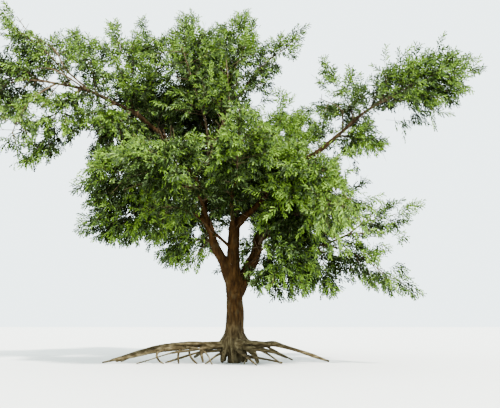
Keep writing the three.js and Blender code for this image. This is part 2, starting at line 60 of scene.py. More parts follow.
# The camera stands where the photograph was taken from
CAMERA_PLACE = (0.496, -18.0, 1.15)
CAMERA_PITCH = math.radians(12.19)
CAMERA_LENS = 40.32
SENSOR_WIDTH = 36.0
VIEW_END = 2000
PICTURE_WIDTH = 500  # pixels, as are all places and sizes in the picture
PICTURE_HEIGHT = 408
PIXELS_A_METRE = CAMERA_LENS / SENSOR_WIDTH * PICTURE_WIDTH  # of what is one metre from the camera
FLOOR_SIZE = 600.0
FLOOR_COLOUR = (0.66, 0.65, 0.62, 1)

# The trunk, from the flat cut at ground level to its upper fork
TRUNK_PLACES = [(0, 0, 0), (0, 0, 0.6), (0.02, 0, 1.9), (-0.03, 0, 2.8), (-0.04, 0, 3.6), (0, 0, 4.44)]
TRUNK_HEIGHTS = [0, 0.25, 0.5, 0.68, 0.9, 1.3, 1.9, 2.45, 3.0, 3.7, 4.44]
TRUNK_RADII = [0.21, 0.21, 0.31, 0.36, 0.305, 0.265, 0.25, 0.275, 0.225, 0.195, 0.17]
COLLAR_HEIGHT = 0.58
COLLAR_SPREAD = 0.2
COLLAR_SWELL = 0.13
COLLAR_SHARPNESS = 6
FLUTES = 5
FLUTE_DEPTH = 0.02
FLUTE_TWIST = 1.3
FLUTE_TOP = 3.4

# Every limb swells at its foot, tapers, and is a little crooked
LIMB_SPACING = 0.07  # between two places of its axis
FEWEST_PLACES = 8
LIMB_TAPER = 0.9
FOOT_SWELL = 0.3
FOOT_REACH = 2.2  # how far the swelling reaches, in radii
CROOK_RATES = (2.1, 4.7)
CROOK_SIZE = 0.45
SWELL_RATE = 5.3
SWELL_SIZE = 0.07

# Main boughs: name, the limb each leaves and the share along it, places between, tip, thick and thin radius
BOUGHS = [
    ("left_stem", "trunk", 0.5, [(-0.7, -0.15, 3.82), (-1.02, 0, 5.44)], (-0.81, 0.8, 7.67), 0.17, 0.06),
    ("right_stem", "trunk", 0.44, [(0.59, 0.3, 3.16), (0.87, 0.7, 4.22)], (1.2, 1.3, 5.36), 0.2, 0.12),
    ("left_arm", "left_stem", 0.66, [(-2.21, 0.1, 7.1), (-3.36, -0.3, 8.06), (-4.79, -0.8, 8.66)],
     (-5.82, -1, 8.84), 0.095, 0.034),
    ("right_arm", "trunk", 0.96, [(0.75, -0.3, 4.97), (1.84, -0.7, 6), (2.93, -0.9, 6.77)],
     (4.17, -1, 7.85), 0.115, 0.042),
    ("right_middle", "right_stem", 0.58, [(1.55, 0.2, 4.21), (2.17, -0.1, 3.89), (2.76, -0.3, 3.64)],
     (3.61, -0.4, 3.95), 0.085, 0.03),
    ("left_low", "trunk", 0.78, [(-0.62, -0.45, 4), (-1.15, -0.6, 4.49)], (-1.76, -0.8, 4.74), 0.06, 0.03),
    ("left_shelf", "left_stem", 0.59, [(-1.5, -0.7, 5.45)], (-2.33, -1.4, 5.74), 0.06, 0.03),
    ("front_left", "left_stem", 0.46, [(-1.04, -1.2, 4.91)], (-1.35, -2.4, 5.23), 0.06, 0.03),
    ("top_left", "left_stem", 0.94, [(-1.37, 0.9, 8.57)], (-1.92, 0.6, 9.28), 0.045, 0.026),
    ("top_right", "left_stem", 0.9, [(-0.41, 0.5, 8.22)], (0.25, 0.2, 9.06), 0.05, 0.028),
    ("back_top", "left_stem", 0.78, [(-1.03, 1.5, 7.37)], (-1.21, 2.6, 8.7), 0.05, 0.03),
    ("front_middle", "trunk", 0.9, [(-0.09, -1, 4.86)], (0.12, -2.3, 5.37), 0.07, 0.034),
    ("right_hang", "right_stem", 0.27, [(0.78, -0.45, 3.38)], (1.02, -1.15, 3.5), 0.055, 0.03),
    ("back_left", "left_stem", 0.37, [(-1.25, 1.6, 4.87)], (-1.97, 3.1, 5.79), 0.065, 0.034),
    ("back_middle", "trunk", 0.87, [(0.04, 1.5, 4.86)], (-0.04, 3, 5.92), 0.075, 0.034),
    ("back_right", "right_stem", 0.7, [(1.52, 2.2, 5.06)], (2.3, 3.5, 5.76), 0.07, 0.034),
]

# Bare roots: name, start, places between, tip, thick and thin radius
ROOTS = [
    ("left_long", (-0.1, -0.05, 0.58), [(-0.95, -0.15, 0.56), (-2.2, -0.2, 0.37), (-3.3, -0.3, 0.18)],
     (-4, -0.4, 0.03), 0.09, 0.04),
    ("left_back", (-0.08, 0.12, 0.55), [(-1.4, 0.45, 0.54), (-2.8, 0.8, 0.38)], (-4.1, 1.2, 0.02),
     0.085, 0.035),
    ("left_prop", (-0.9, -0.14, 0.57), [(-0.98, -0.3, 0.3)], (-0.92, -0.42, 0.02), 0.07, 0.045),
    ("front", (0.03, -0.1, 0.45), [(0.33, -0.75, 0.27)], (0.7, -1.5, 0.02), 0.075, 0.03),
    ("right_long", (0.1, 0, 0.6), [(0.95, 0.05, 0.56), (1.6, 0.1, 0.48)], (3, 0.25, 0.03), 0.115, 0.045),
    ("right_arch", (0.1, -0.06, 0.5), [(0.56, -0.3, 0.44)], (0.74, -0.45, 0.03), 0.085, 0.05),
    ("right_low", (0.06, -0.06, 0.25), [(0.7, -0.16, 0.16)], (1.5, -0.3, 0.02), 0.065, 0.03),
    ("back_left", (-0.06, 0.1, 0.55), [(-0.75, 1.3, 0.42)], (-1.5, 2.8, 0.03), 0.12, 0.045),
    ("back_right", (0.06, 0.1, 0.55), [(0.85, 1.1, 0.4)], (1.8, 2.4, 0.03), 0.11, 0.045),
]

# Roots that run beside the main ones: start, places between, tip, thick and thin radius
ROOT_STRANDS = [
    ((-0.2, -0.1, 0.6), [(-1.2, -0.3, 0.6), (-2.3, -0.08, 0.47)], (-3.7, 0.1, 0.03), 0.055, 0.034),
    ((-0.2, 0.05, 0.56), [(-1.3, 0.15, 0.6), (-2.5, 0.3, 0.47)], (-3.9, 0.7, 0.03), 0.06, 0.034),
    ((-0.3, -0.12, 0.52), [(-1.1, -0.36, 0.42), (-1.9, -0.46, 0.3)], (-2.9, -0.7, 0.02), 0.05, 0.03),
    ((-0.1, 0, 0.42), [(-0.7, -0.12, 0.36), (-1.3, -0.2, 0.26)], (-2.1, -0.3, 0.02), 0.06, 0.032),
    ((0.15, 0.02, 0.62), [(0.55, -0.12, 0.62)], (1.15, -0.2, 0.56), 0.085, 0.06),
    ((0.2, -0.1, 0.42), [(0.7, -0.28, 0.42)], (1.28, -0.4, 0.35), 0.06, 0.045),
    ((0.3, -0.18, 0.46), [(0.56, -0.42, 0.3)], (0.72, -0.75, 0.02), 0.055, 0.038),
    ((0.12, 0.1, 0.55), [(0.9, 0.5, 0.5)], (1.9, 0.9, 0.03), 0.06, 0.035),
    ((-0.12, 0.15, 0.52), [(-0.6, 0.9, 0.46)], (-1.9, 1.7, 0.03), 0.06, 0.035),
    ((0, 0.2, 0.5), [(0.1, 0.9, 0.38)], (0.2, 1.9, 0.02), 0.07, 0.035),
]

# Roots that plunge from the collar round the trunk's foot
PLUNGING_ROOTS = 8
PLUNGING_START = (0.14, 0.6)  # distance from the trunk's axis and height
PLUNGING_KNEE = (0.34, 0.38)
PLUNGING_FEET = (0.3, 0.52)  # least and most distance from the trunk's axis
PLUNGING_END = 0.02  # height of their tips
PLUNGING_RADII = (0.09, 0.05)

# Finer roots that hang to the ground: start, places between, tip, thick and thin radius
FINE_ROOTS = [
    ((-1.2, -0.17, 0.55), [(-1.36, -0.3, 0.38), (-1.3, -0.4, 0.2)], (-1.1, -0.5, 0), 0.04, 0.026),
    ((-1.6, -0.18, 0.5), [(-1.7, -0.34, 0.28)], (-1.66, -0.44, 0), 0.038, 0.024),
    ((-2.15, -0.2, 0.42), [(-2.34, -0.36, 0.3), (-2.28, -0.45, 0.12)], (-2.1, -0.52, 0), 0.04, 0.024),
    ((-1.45, -0.25, 0.48), [(-1.05, -0.5, 0.44), (-0.8, -0.65, 0.3)], (-0.62, -0.85, 0), 0.032, 0.02),
    ((-0.2, -0.12, 0.35), [(-0.5, -0.35, 0.25)], (-0.85, -0.6, 0), 0.045, 0.025),
    ((0.5, -0.24, 0.5), [(0.95, -0.32, 0.34)], (1.45, -0.5, 0), 0.042, 0.024),
    ((0.2, -0.3, 0.4), [(0.36, -0.45, 0.2)], (0.32, -0.62, 0), 0.034, 0.02),
    ((-0.6, 0.1, 0.58), [(-1.6, 0.3, 0.5), (-2.6, 0.5, 0.42)], (-3.6, 0.4, 0.01), 0.036, 0.02),
]

# Masses of foliage: name, its bough and the share along it, far end, size across and size in depth
MASSES = [
    ("left_end", "left_arm", 1, (-8.85, -1.4, 8.64), 2.6, 2.4),
    ("left_rise", "left_arm", 0.88, (-7.7, -1.1, 11.3), 2, 1.5),
    ("left_knoll", "left_arm", 0.71, (-5.85, 0.4, 11.5), 2.1, 1.8),
    ("left_crest", "left_arm", 0.48, (-4.44, 0.2, 11.7), 2.5, 2.2),
    ("left_droop", "left_arm", 0.8, (-6.3, -1.7, 5.84), 1.7, 1.9),
    ("left_under", "left_arm", 0.52, (-4.3, -1.5, 5.95), 1.9, 1.6),
    ("left_shelf", "left_shelf", 1, (-4.7, -2.1, 5.15), 2.7, 1.9),
    ("left_low", "left_low", 1, (-4.8, -1.2, 4.1), 2.4, 1.8),
    ("left_skirt", "left_stem", 0.3, (-2.8, 1.3, 4.15), 2.4, 2.1),
    ("front_left", "front_left", 1, (-2.53, -4.2, 5.9), 2.8, 2.2),
    ("top_left", "top_left", 1, (-3.41, 0.4, 11.94), 2.4, 2.4),
    ("top", "left_stem", 1, (-1.76, 1, 12.6), 2.5, 2.4),
    ("top_right", "top_right", 0.93, (0.21, 0.4, 12.3), 2.3, 2.1),
    ("plume", "top_right", 1, (2.49, -0.2, 11.35), 1.3, 1.1),
    ("back_top", "back_top", 1, (-1.46, 4, 12), 3.2, 2.8),
    ("front_middle", "front_middle", 1, (0.23, -4.4, 6.7), 2.5, 2.1),
    ("heart", "trunk", 1, (-1.1, 1.5, 8.1), 2.9, 2.8),
    ("right_inner", "right_arm", 0.38, (1.5, -1.6, 8.3), 2.2, 2),
    ("arm_crest", "right_arm", 0.93, (2.9, -0.5, 9.9), 1.8, 1.7),
    ("right_end", "right_arm", 1, (8.07, -1.3, 9.38), 2.4, 2.2),
    ("arm_under", "right_arm", 0.82, (4.8, -1.7, 6.3), 1.5, 1.3),
    ("front_right", "right_arm", 0.3, (3, -3.6, 5.6), 2.9, 2.3),
    ("right_main", "right_stem", 0.62, (3.5, 1.7, 5.9), 3, 3),
    ("right_outer", "right_middle", 0.38, (4.3, -1, 5.6), 2.2, 1.9),
    ("right_shelf", "right_middle", 1, (5.94, -0.7, 4.95), 1.2, 1),
    ("right_mid", "right_middle", 0.97, (5.3, -1, 3.8), 1.5, 1.1),
    ("right_low", "right_middle", 0.76, (5.5, -1.5, 2.1), 1.7, 1.3),
    ("right_skirt", "right_middle", 0.7, (2.9, -1.4, 2), 2, 1.6),
    ("right_hang", "right_hang", 1, (2.05, -2.4, 2.2), 2.6, 2.3),
    ("back_left", "back_left", 1, (-4, 5.4, 6.6), 3.2, 2.5),
    ("back_middle", "back_middle", 1, (0.05, 6, 7.8), 3.2, 2.6),
    ("back_right", "back_right", 1, (4.3, 5.6, 6.5), 3.2, 2.5),
    ("high_left", "left_arm", 0.28, (-3.7, 3.3, 10.2), 3.4, 2.8),
    ("high_right", "right_stem", 1, (2.7, 3.4, 9.6), 3, 2.7),
]

# The rule of growth, carried to finer twigs
UP = np.array([0.0, 0.0, 1.0])
GOLDEN_TURN = math.radians(137.5)
STEM_ARCH = 0.05
SOLID_LEAF = 1.15  # the length of one of the solids' leaves, which a whole spray stands for here
SHORTEST_STEM = 0.4
LEAN_LOW = math.radians(66)
LEAN_HIGH = math.radians(40)
TWIGS_A_METRE = 7.5  # on a mass of the usual width
USUAL_WIDTH = 2.3
LEAST_CROWDING = 0.35
FEWEST_TWIGS = 5
FIRST_TWIG = 0.1  # share of the stem
TWIG_FIT = (0.3, 0.85)  # least length, and what is left of it each time that it is cut to stay in its space
TWIG_RISE = 0.1
SHOOT_SPACING = 0.1
SHOOT_START = 0.16  # share of the twig
SHOOT_STRETCH = 0.82
SHOOT_LEAN = math.radians(40)
SHOOT_OUTWARD = 0.15  # how far shoots turn towards the skin of their mass
SHOOT_LENGTH = 0.7
SHOOT_TAPER = (1.2, 0.85)  # length at the twig's foot and what it loses on the way to the tip
SHOOT_FIT = (0.14, 0.8)
SHOOT_RISE = 0.12
SPACE_EDGE = 1.06
TIP_TAPER = 0.45  # how much narrower than an egg a mass gets towards its far end
GAP_EDGE = 1.35  # how far shoots fill the narrow gaps between two masses
OWN_MARGIN = 0.97
UPRIGHT = 0.25  # a mass that leans less than this has its width along Y

# Bars of the foliage: the number of places along each, thick and thin radius, and the number of sides
BARS = {"stem": (14, 0.03, 0.011, 6), "twig": (6, 0.014, 0.005, 4), "spray": (4, 0.011, 0.005, 4),
        "shoot": (3, 0.007, 0.003, 3)}
THIN_BOUGH_SIDES = 6

# What is dealt at random: the least and the most of it
RANGES = {
    "turn": (0, 6.28), "root turn": (-0.3, 0.3), "root swing": (-0.08, 0.08), "root radius": (0.8, 1.1),
    "twig turn": (-0.5, 0.5), "twig length": (0.7, 1.12), "twig bend": (-0.2, 0.12),
    "shoot step": (0, 0.6), "shoot turn": (-0.6, 0.6), "shoot lean": (0.8, 1.2), "shoot length": (0.6, 1.2),
    "shoot bend": (-0.25, 0.12), "end rise": (-0.2, 0.2), "end length": (0.4, 0.7),
    "spray step": (0, 0.8), "spray lean": (50, 80), "spray length": (0.6, 1.3), "spray bend": (-0.3, 0.15),
    "spray shoot length": (0.35, 0.65), "spray shoot bend": (-0.3, 0.05),
    "leaf lean": (0.85, 1.15), "leaf droop": (0.4, 1.4), "leaf size": (0.8, 1.15),
}
SEEDS = {"plunging roots": 4000, "masses": 5000, "sprays": 6000, "leaves": 7000}

# Thin boughs among the foliage: name, the limb each leaves and the share along it, places between, tip,
# thick and thin radius
THIN_BOUGHS = [
    ("left_rod", "left_arm", 0.74, [(-5.43, -1.25, 9.2), (-5.9, -1.25, 9.95), (-6.64, -1.25, 10.39)],
     (-7.2, -1.25, 11.1), 0.034, 0.012),
    ("left_fork", "left_arm", 0.76, [(-5.43, -1.4, 8.95), (-5.96, -1.4, 9.18)],
     (-6.6, -1.4, 9.15), 0.03, 0.014),
    ("left_reach", "left_arm", 1, [(-6.3, -1.3, 8.8), (-6.8, -1.5, 8.72)], (-7.5, -1.6, 8.4), 0.034, 0.014),
    ("left_branch", "left_arm", 0.83, [(-5.5, -1.5, 8.6)], (-5.9, -1.9, 7.6), 0.024, 0.01),
    ("right_reach", "right_arm", 1, [(4.85, -1.3, 8.17), (5.57, -1.3, 8.48)],
     (6.25, -1.3, 9.15), 0.042, 0.014),
    ("right_fork", "right_arm", 0.86, [(3.4, -1.1, 7.9)], (2.7, -1.3, 8.2), 0.03, 0.012),
    ("crown_fork", "left_stem", 0.86, [(-0.95, -0.3, 7.6), (-1.2, -0.6, 8.4)],
     (-1.8, -0.75, 10.3), 0.05, 0.016),
    ("crown_twig", "left_stem", 0.84, [(-0.5, -0.4, 7.5), (-0.2, -0.6, 8.1)],
     (-0.3, -0.75, 9.9), 0.045, 0.014),
    ("right_bough", "right_stem", 0.62, [(1.5, -0.9, 4.25), (2.3, -2.2, 4.45)],
     (3.2, -2.9, 4.6), 0.05, 0.016),
    ("right_fill", "right_stem", 0.5, [(1.15, -0.8, 4.3)], (1.9, -2.3, 5.2), 0.045, 0.016),
    ("shelf_rod", "right_middle", 1, [(4.1, -0.45, 4.35)], (4.72, -0.5, 4.9), 0.03, 0.014),
    ("left_hang", "left_arm", 0.6, [(-4.3, -0.85, 8)], (-4.7, -0.95, 7), 0.03, 0.012),
    ("left_drop", "left_arm", 1, [(-6.35, -1.5, 8.1), (-6.6, -1.8, 7.3)], (-6.7, -1.9, 6.8), 0.03, 0.012),
]

# Sprays that grow straight from the limbs: the limb and the share of it where they start, then the share
# where they end, the space between two and their length, where these aren't the usual ones
USUAL_SPRAYS = (1, 0.2, 0.75)
SPRAY_LIMBS = [
    ("trunk", 0.92, 1, 0.2, 0.7), ("left_stem", 0.5), ("right_stem", 0.45), ("left_arm", 0.03, 0.85),
    ("right_arm", 0.25, 0.45), ("right_arm", 0.68, 1, 0.09, 1.1), ("right_middle", 0.1, 0.9),
    ("left_low", 0.25), ("left_shelf", 0.2), ("front_left", 0.3), ("top_left", 0.2, 1, 0.16, 0.9),
    ("top_right", 0.3, 1, 0.16, 0.9), ("back_top", 0.2), ("front_middle", 0.35), ("right_hang", 0.2),
    ("back_left", 0.3), ("back_middle", 0.3), ("back_right", 0.3), ("left_rod", 0.3, 1, 0.15, 0.7),
    ("right_reach", 0, 0.6, 0.08, 1), ("right_reach", 0.6, 1, 0.1, 0.9), ("right_fork", 0.4, 1, 0.15, 0.7),
    ("crown_fork", 0.45, 1, 0.09, 1.15), ("crown_twig", 0.45, 1, 0.09, 1.15),
    ("right_bough", 0.3, 1, 0.06, 1.1), ("right_fill", 0.35, 1, 0.05, 1.05), ("left_hang", 0.2, 1, 0.08, 0.9),
    ("left_drop", 0.4, 1, 0.12, 0.8), ("right_stem", 0.15, 0.45, 0.14, 0.6), ("trunk", 0.57, 0.66, 0.12, 0.5),
]
SPRAY_SHOOTS = 5
SPRAY_START = 0.3
SPRAY_STRETCH = 0.65

# Masses that are more open or fuller than the rest: their share of the usual number of twigs
OPEN_MASSES = {
    "left_rise": 0.6, "left_knoll": 0.58, "left_crest": 0.62, "left_end": 0.85, "top_left": 0.72,
    "plume": 1.1, "left_droop": 0.8, "left_under": 1.2, "right_inner": 0.85, "left_low": 1.25,
    "left_shelf": 1.15, "arm_crest": 0.6, "right_end": 0.85, "right_outer": 0.6, "right_shelf": 0.9,
    "right_mid": 0.7, "right_low": 0.75, "arm_under": 0.8, "top": 0.85, "top_right": 0.85,
}

# Masses, and sprays on limbs, painted lighter (above 0) or darker (below 0) than their place tells: painted
# light and painted shade
MASS_PAINTED_LIGHT = {
    "right_inner": 1.2, "left_crest": 0.3, "left_low": 0.5, "left_shelf": 0.3, "left_skirt": 0.4,
    "arm_under": 0.7, "front_left": -0.1, "right_main": 0.5, "front_right": 0.3, "right_hang": 0.1,
    "right_bough": 0.4, "right_fill": 1.3, "right_stem": 0.6, "right_shelf": -0.6, "right_mid": -0.6,
    "right_outer": -0.5, "right_low": -0.3,
}
# Painted shade: the sprays on limbs deep inside the crown get darker greens
INNER_PAINTED_SHADE = -0.3  # of the other sprays that grow straight from the limbs

# Where the photograph shows sky through the crown: a place in the picture, half width and half height
SKY_GAPS = [
    (246, 230, 7, 9), (224, 238, 4, 9), (203, 212, 4, 6), (198, 232, 5, 8), (213, 262, 8, 8),
    (88, 138, 10, 9), (256, 99, 7, 9), (311, 62, 8, 30), (376, 190, 9, 5), (33, 108, 5, 5), (75, 65, 5, 4),
    (140, 118, 3, 4), (116, 141, 4, 5), (336, 252, 4, 4), (372, 240, 8, 6), (262, 268, 4, 4),
    (20, 19, 6, 10), (50, 28, 7, 9), (90, 28, 6, 8), (155, 22, 8, 11), (209, 20, 4, 8), (262, 30, 6, 14),
    (54, 79, 6, 3), (55, 88, 5, 2), (386, 118, 13, 8), (403, 112, 9, 10), (470, 82, 8, 5), (8, 128, 5, 8),
    (40, 135, 4, 8), (36, 18, 9, 10), (308, 86, 12, 9), (318, 98, 18, 5), (388, 262, 9, 9),
    (338, 100, 9, 4), (336, 122, 6, 5), (28, 23, 11, 7), (44, 32, 9, 7), (97, 30, 7, 8), (124, 30, 3, 11),
    (158, 28, 6, 11), (168, 22, 4, 9), (206, 22, 5, 9), (24, 5, 14, 9), (238, 8, 8, 5), (8, 160, 10, 8),
    (40, 113, 5, 6), (345, 161, 8, 6), (362, 160, 7, 7), (352, 180, 7, 7), (374, 170, 13, 12),
    (335, 191, 6, 5), (362, 196, 8, 5), (342, 172, 5, 5), (397, 141, 8, 12), (386, 158, 9, 9),
    (389, 238, 8, 6), (392, 214, 6, 4), (292, 67, 8, 8), (281, 80, 10, 7), (330, 138, 4, 4),
    (322, 176, 4, 4), (316, 117, 6, 5), (288, 109, 5, 5), (300, 215, 3, 3), (287, 236, 3, 3),
    (330, 216, 3, 4), (314, 232, 3, 3), (343, 232, 4, 3), (322, 262, 5, 4), (341, 277, 6, 4),
    (283, 133, 4, 4), (305, 128, 4, 5), (312, 146, 5, 4), (297, 141, 3, 3), (264, 117, 4, 5),
    (271, 108, 5, 5), (326, 152, 4, 4), (338, 148, 4, 5), (282, 60, 6, 6), (334, 88, 6, 4),
]
GAP_PLAY = 1.8  # how far a gap's edge wanders

# Where the photograph looks deep into the crown: the same, and how far off leaves have to be to show there
HOLLOWS = [(158, 128, 34, 13, 16.6), (205, 120, 20, 12, 16.2), (125, 190, 22, 8, 16.4)]

# Limbs that show there: the shares of their length between which no leaves hang before them, and how far
# beside them none do
SHOWN_LIMBS = [
    ("trunk", 0.3, 0.56, 0.07), ("trunk", 0.7, 0.97, 0.07), ("left_stem", 0, 0.5, 0.07),
    ("left_stem", 0.5, 0.62, 0.03), ("right_stem", 0.35, 0.58, 0.05), ("right_arm", 0, 0.24, 0.07),
    ("right_arm", 0.24, 0.34, 0.04), ("right_arm", 0.62, 1, 0.03), ("right_reach", 0, 0.5, 0.03),
    ("left_arm", 0.36, 1, 0.03), ("left_rod", 0, 0.6, 0.02), ("left_fork", 0, 0.9, 0.03),
    ("right_middle", 0.75, 1, 0.03), ("shelf_rod", 0, 0.8, 0.02), ("left_reach", 0, 0.6, 0.03),
    ("crown_fork", 0, 0.5, 0.03), ("crown_twig", 0, 0.5, 0.03),
]

# Leaves: narrow and feathery, with leaflets on each side that are joined at their feet
LEAF_SPACING = 0.029
LEAF_LENGTH = 0.18
LEAF_START = 0.08  # share of the shoot
LEAF_LEAN = 56  # degrees, at the shoot's foot
LEAF_CLOSING = 30  # degrees by which leaves lean less at its tip
LEAF_TAPER = (1.06, 0.25)  # size at the shoot's foot and what it loses on the way to the tip
INNER_LEAF = 1.15  # leaves deep inside the crown are this much larger than those at the skin of a mass
LEAF_DROOP = 0.2
LEAF_TURN = 0.8  # how far leaves tip to all sides
LEAF_BENDS = [(0.1, 0.75), (0.25, 0.55), (0.18, 0.9), (0.35, 0.65)]  # droop and fold of each kind
# Each leaflet: the shares of the midrib where its foot starts and ends, where its tip is, and its reach
LEAFLETS = [(0.04, 0.6, 0.5, 0.21), (0.42, 1.0, 0.86, 0.19)]
LEAFLET_FOLD = 0.14  # how much more each leaflet is folded up than the one before it

# Greens painted as light and shade, from the most shaded to the brightest: the share of all shoots that get
# it, the slot of the part's material, the gloss, and the darkest and lightest colour
LEAF_GREENS = {
    "deep": (0.17, "leaf_deep", 0.1, (0.004, 0.008, 0.001), (0.018, 0.032, 0.006)),
    "shade": (0.16, "leaf_deep", 0.15, (0.01, 0.018, 0.003), (0.038, 0.062, 0.012)),
    "mid": (0.16, "leaf_mid", 0.25, (0.018, 0.034, 0.005), (0.06, 0.104, 0.02)),
    # Painted sheen: the grey green is paler and bluer to stand in for the sky's shine on the leaves
    "grey": (0.17, "leaf_mid", 0.45, (0.04, 0.065, 0.021), (0.136, 0.192, 0.082)),
    "light": (0.19, "leaf_light", 0.3, (0.048, 0.09, 0.015), (0.152, 0.247, 0.056)),
    "bright": (0.15, "leaf_light", 0.3, (0.105, 0.185, 0.023), (0.274, 0.412, 0.076)),
}

# A shoot's green is painted shade and light: how many others stand between it and the light, how far out it
# is, and some play
LIGHT_WAY = (0.42, -0.55, 0.72)
SHADE_REACH = 1.9
SHADE_CONE = 0.5
SHADE_WEIGHT = 0.75
INNER_DEPTH = 0.5  # how far out in the crown sprays on the main limbs count as
OUTER_DEPTH = 0.95  # the same for those on thin boughs
TONE_PLAY = {"twig": 0.4, "shoot": 0.35, "spray": 0.3, "spray shoot": 0.2, "leaf": 1.5}
# Partly the paler green of young leaves at a shoot's tip, partly painted shade towards its foot
FOOT_TONE = 1.6  # how much deeper the tone is at the foot of a shoot than at its tip
OWN_TONE_PLACE = 0.6  # the share of a shoot at which its leaves have its own tone

# Bark: its skin, then how it is parted, then its relief
WOOD_VOXEL = 0.025
SKIN_ROUNDS = 5
SKIN_LOSS = 0.007  # by which the wood's skin falls short of the bars inside it
TRUNK_RINGS = 90
TRUNK_SIDES = 48
# Crooked bars: the seed of the first one of a kind, and the number of sides
CROOKED = {"boughs": (100, 20), "roots": (200, 18), "fine roots": (300, 8), "strands": (400, 12)}
SPLIT_HEIGHT = 1.7  # the trunk is kept in two pieces, which meet here
ROOT_TOP = 0.8
ROOT_START = 0.42  # distance from the trunk's axis past which the wood below ROOT_TOP counts as roots
LIMBS_APART = 3.0  # between the relief of one limb and that of the next
FURROW_WIDTH = 0.055
FURROW_STRETCH = 0.28
FURROW_DEPTH = 0.02
RIDGE_MIDDLE = 0.62
WARP_SIZE = 0.21  # the furrows wander over this distance
WARP_REACH = 0.05
FLAKE_SIZE = 0.045
FLAKE_DEPTH = 0.007
LUMP_SIZE = 0.3
LUMP_STRETCH = 0.6
LUMP_DEPTH = 0.05
RELIEF_RADIUS = 0.26  # the radius of a limb with the full relief
RELIEF_LIMITS = (0.12, 1.1)
RELIEF_POWER = 0.75

# Colours of the bark: dark, middle and light. They are the bark's own brown, made darker still as painted
# shade of the crown over the trunk and boughs
BARK_TONES = [(0.02, 0.009, 0.003), (0.04, 0.019, 0.005), (0.078, 0.041, 0.014)]
FOOT_TONES = [(0.026, 0.018, 0.008), (0.066, 0.051, 0.026), (0.15, 0.125, 0.072)]
ROOT_TONES = [(0.024, 0.017, 0.008), (0.07, 0.053, 0.027), (0.175, 0.142, 0.083)]
ARM_TONES = [(0.034, 0.021, 0.011), (0.066, 0.045, 0.026), (0.135, 0.1, 0.062)]
TWIG_TONES = [(0.05, 0.03, 0.018), (0.105, 0.074, 0.045), (0.2, 0.155, 0.1)]
SHOOT_TONES = [(0.03, 0.028, 0.01), (0.07, 0.068, 0.026), (0.13, 0.12, 0.05)]
FOOT_HEIGHTS = (0.5, 1.5)  # between which the bark turns from the foot's colour to the trunk's
ARM_DISTANCES = (2.2, 4.6)  # from the trunk's axis, between which the bark turns paler
BARK_STREAKS = (1, 1, 0.22)
ROOT_STREAKS = (0.3, 0.6, 1)
STREAK_SCALE = 14
STREAK_LIMITS = (0.3, 0.7)
LICHEN_SCALE = 3.2
LICHEN_LIMITS = (0.52, 0.72)
LICHEN_COVER = (0.28, 0.28, 0.28)
LICHEN_COLOUR = (0.1, 0.088, 0.05, 1)
BARK_GRAIN = 60
GRAIN_STRETCH = (1, 1, 0.3)
LEAF_PATCHES = 16
LEAF_LIMITS = (0.35, 0.65)
LEAF_GRAIN = 90

# Light: a pale sky all round, and a broad sun high up at the right
SKY_COLOUR = (0.82, 0.93, 0.95, 1)
SKY_STRENGTH = 2.7
SUN_COLOUR = (1.0, 0.97, 0.92)
SUN_STRENGTH = 8.5
SUN_WIDTH = math.radians(5)
SUN_TURN = (math.radians(33), math.radians(28), 0)


def unit(vector):
    return vector / max(np.linalg.norm(vector), 1e-12)


def dealt(rng, what):
    """A random value in a named range."""
    return rng.uniform(*RANGES[what])


def span_at(places, share):
    """Which stretch between two places a share of the way along them falls in."""
    return min(int(share * (len(places) - 1)), len(places) - 2)


def on_curve(places, share):
    """A place on the smooth curve through some places, at a share of the way along it."""
    last = len(places) - 1
    span = span_at(places, share)
    step = share * last - span

    def slope(index):
        scale = 1.0 if index in (0, last) else 0.5
        return (places[min(index + 1, last)] - places[max(index - 1, 0)]) * scale

    return ((2 * step**3 - 3 * step**2 + 1) * places[span] + (step**3 - 2 * step**2 + step) * slope(span)
            + (3 * step**2 - 2 * step**3) * places[span + 1] + (step**3 - step**2) * slope(span + 1))


def frames(axis):
    """Three unit vectors at each place of an axis: along it, and two square to it that are carried on."""
    along = np.gradient(axis, axis=0)
    along /= np.linalg.norm(along, axis=1, keepdims=True)
    side = np.array([0.0, 1.0, 0.0])
    sides = np.empty_like(axis)
    for index, way in enumerate(along):
        side = side - way * side.dot(way)
        if np.linalg.norm(side) < 0.1:
            side = np.array([1.0, 0.0, 0.0]) - way * way[0]
        side = unit(side)
        sides[index] = side
    return np.stack([along, sides, np.cross(along, sides)], axis=1)


def ring_ways(axis, sides):
    """Unit vectors from each place of an axis to the corners of the ring round it."""
    ways = frames(axis)
    turn = np.arange(sides)[:, None] / sides * 2 * math.pi
    return ways[:, 1:2] * np.cos(turn) + ways[:, 2:] * np.sin(turn)


def tube(axis, radii, sides):
    """The corners and triangles of a closed bar. Each place has one radius, or one for each side."""
    radii = radii.reshape(len(axis), -1, 1)
    corners = (axis[:, None] + ring_ways(axis, sides) * radii).reshape(-1, 3)
    starts = np.arange(len(axis) - 1)[:, None] * sides
    here = starts + np.arange(sides)
    beside = starts + (np.arange(sides) + 1) % sides
    top = starts[-1, 0] + sides
    ends = [(0, k + 1, k) for k in range(1, sides - 1)]
    ends += [(top, top + k, top + k + 1) for k in range(1, sides - 1)]
    quads = np.stack([here, beside, beside + sides, here + sides], axis=-1).reshape(-1, 4)
    return corners, np.concatenate([quads[:, [0, 1, 2]], quads[:, [0, 2, 3]], np.array(ends)])


def joined(parts):
    """Several lists of corners and triangles as one."""
    corners, triangles, count = [], [], 0
    for some_corners, some_triangles in parts:
        corners.append(some_corners)
        triangles.append(some_triangles + count)
        count += len(some_corners)
    return np.concatenate(corners), np.concatenate(triangles)


def new_object(name, data):
    thing = bpy.data.objects.new(name, data)
    bpy.context.scene.collection.objects.link(thing)
    return thing


def new_mesh(name, corners, triangles, smooth=True):
    mesh = bpy.data.meshes.new(name)
    mesh.from_pydata(corners.tolist(), [], triangles.tolist(), shade_flat=not smooth)
    return mesh


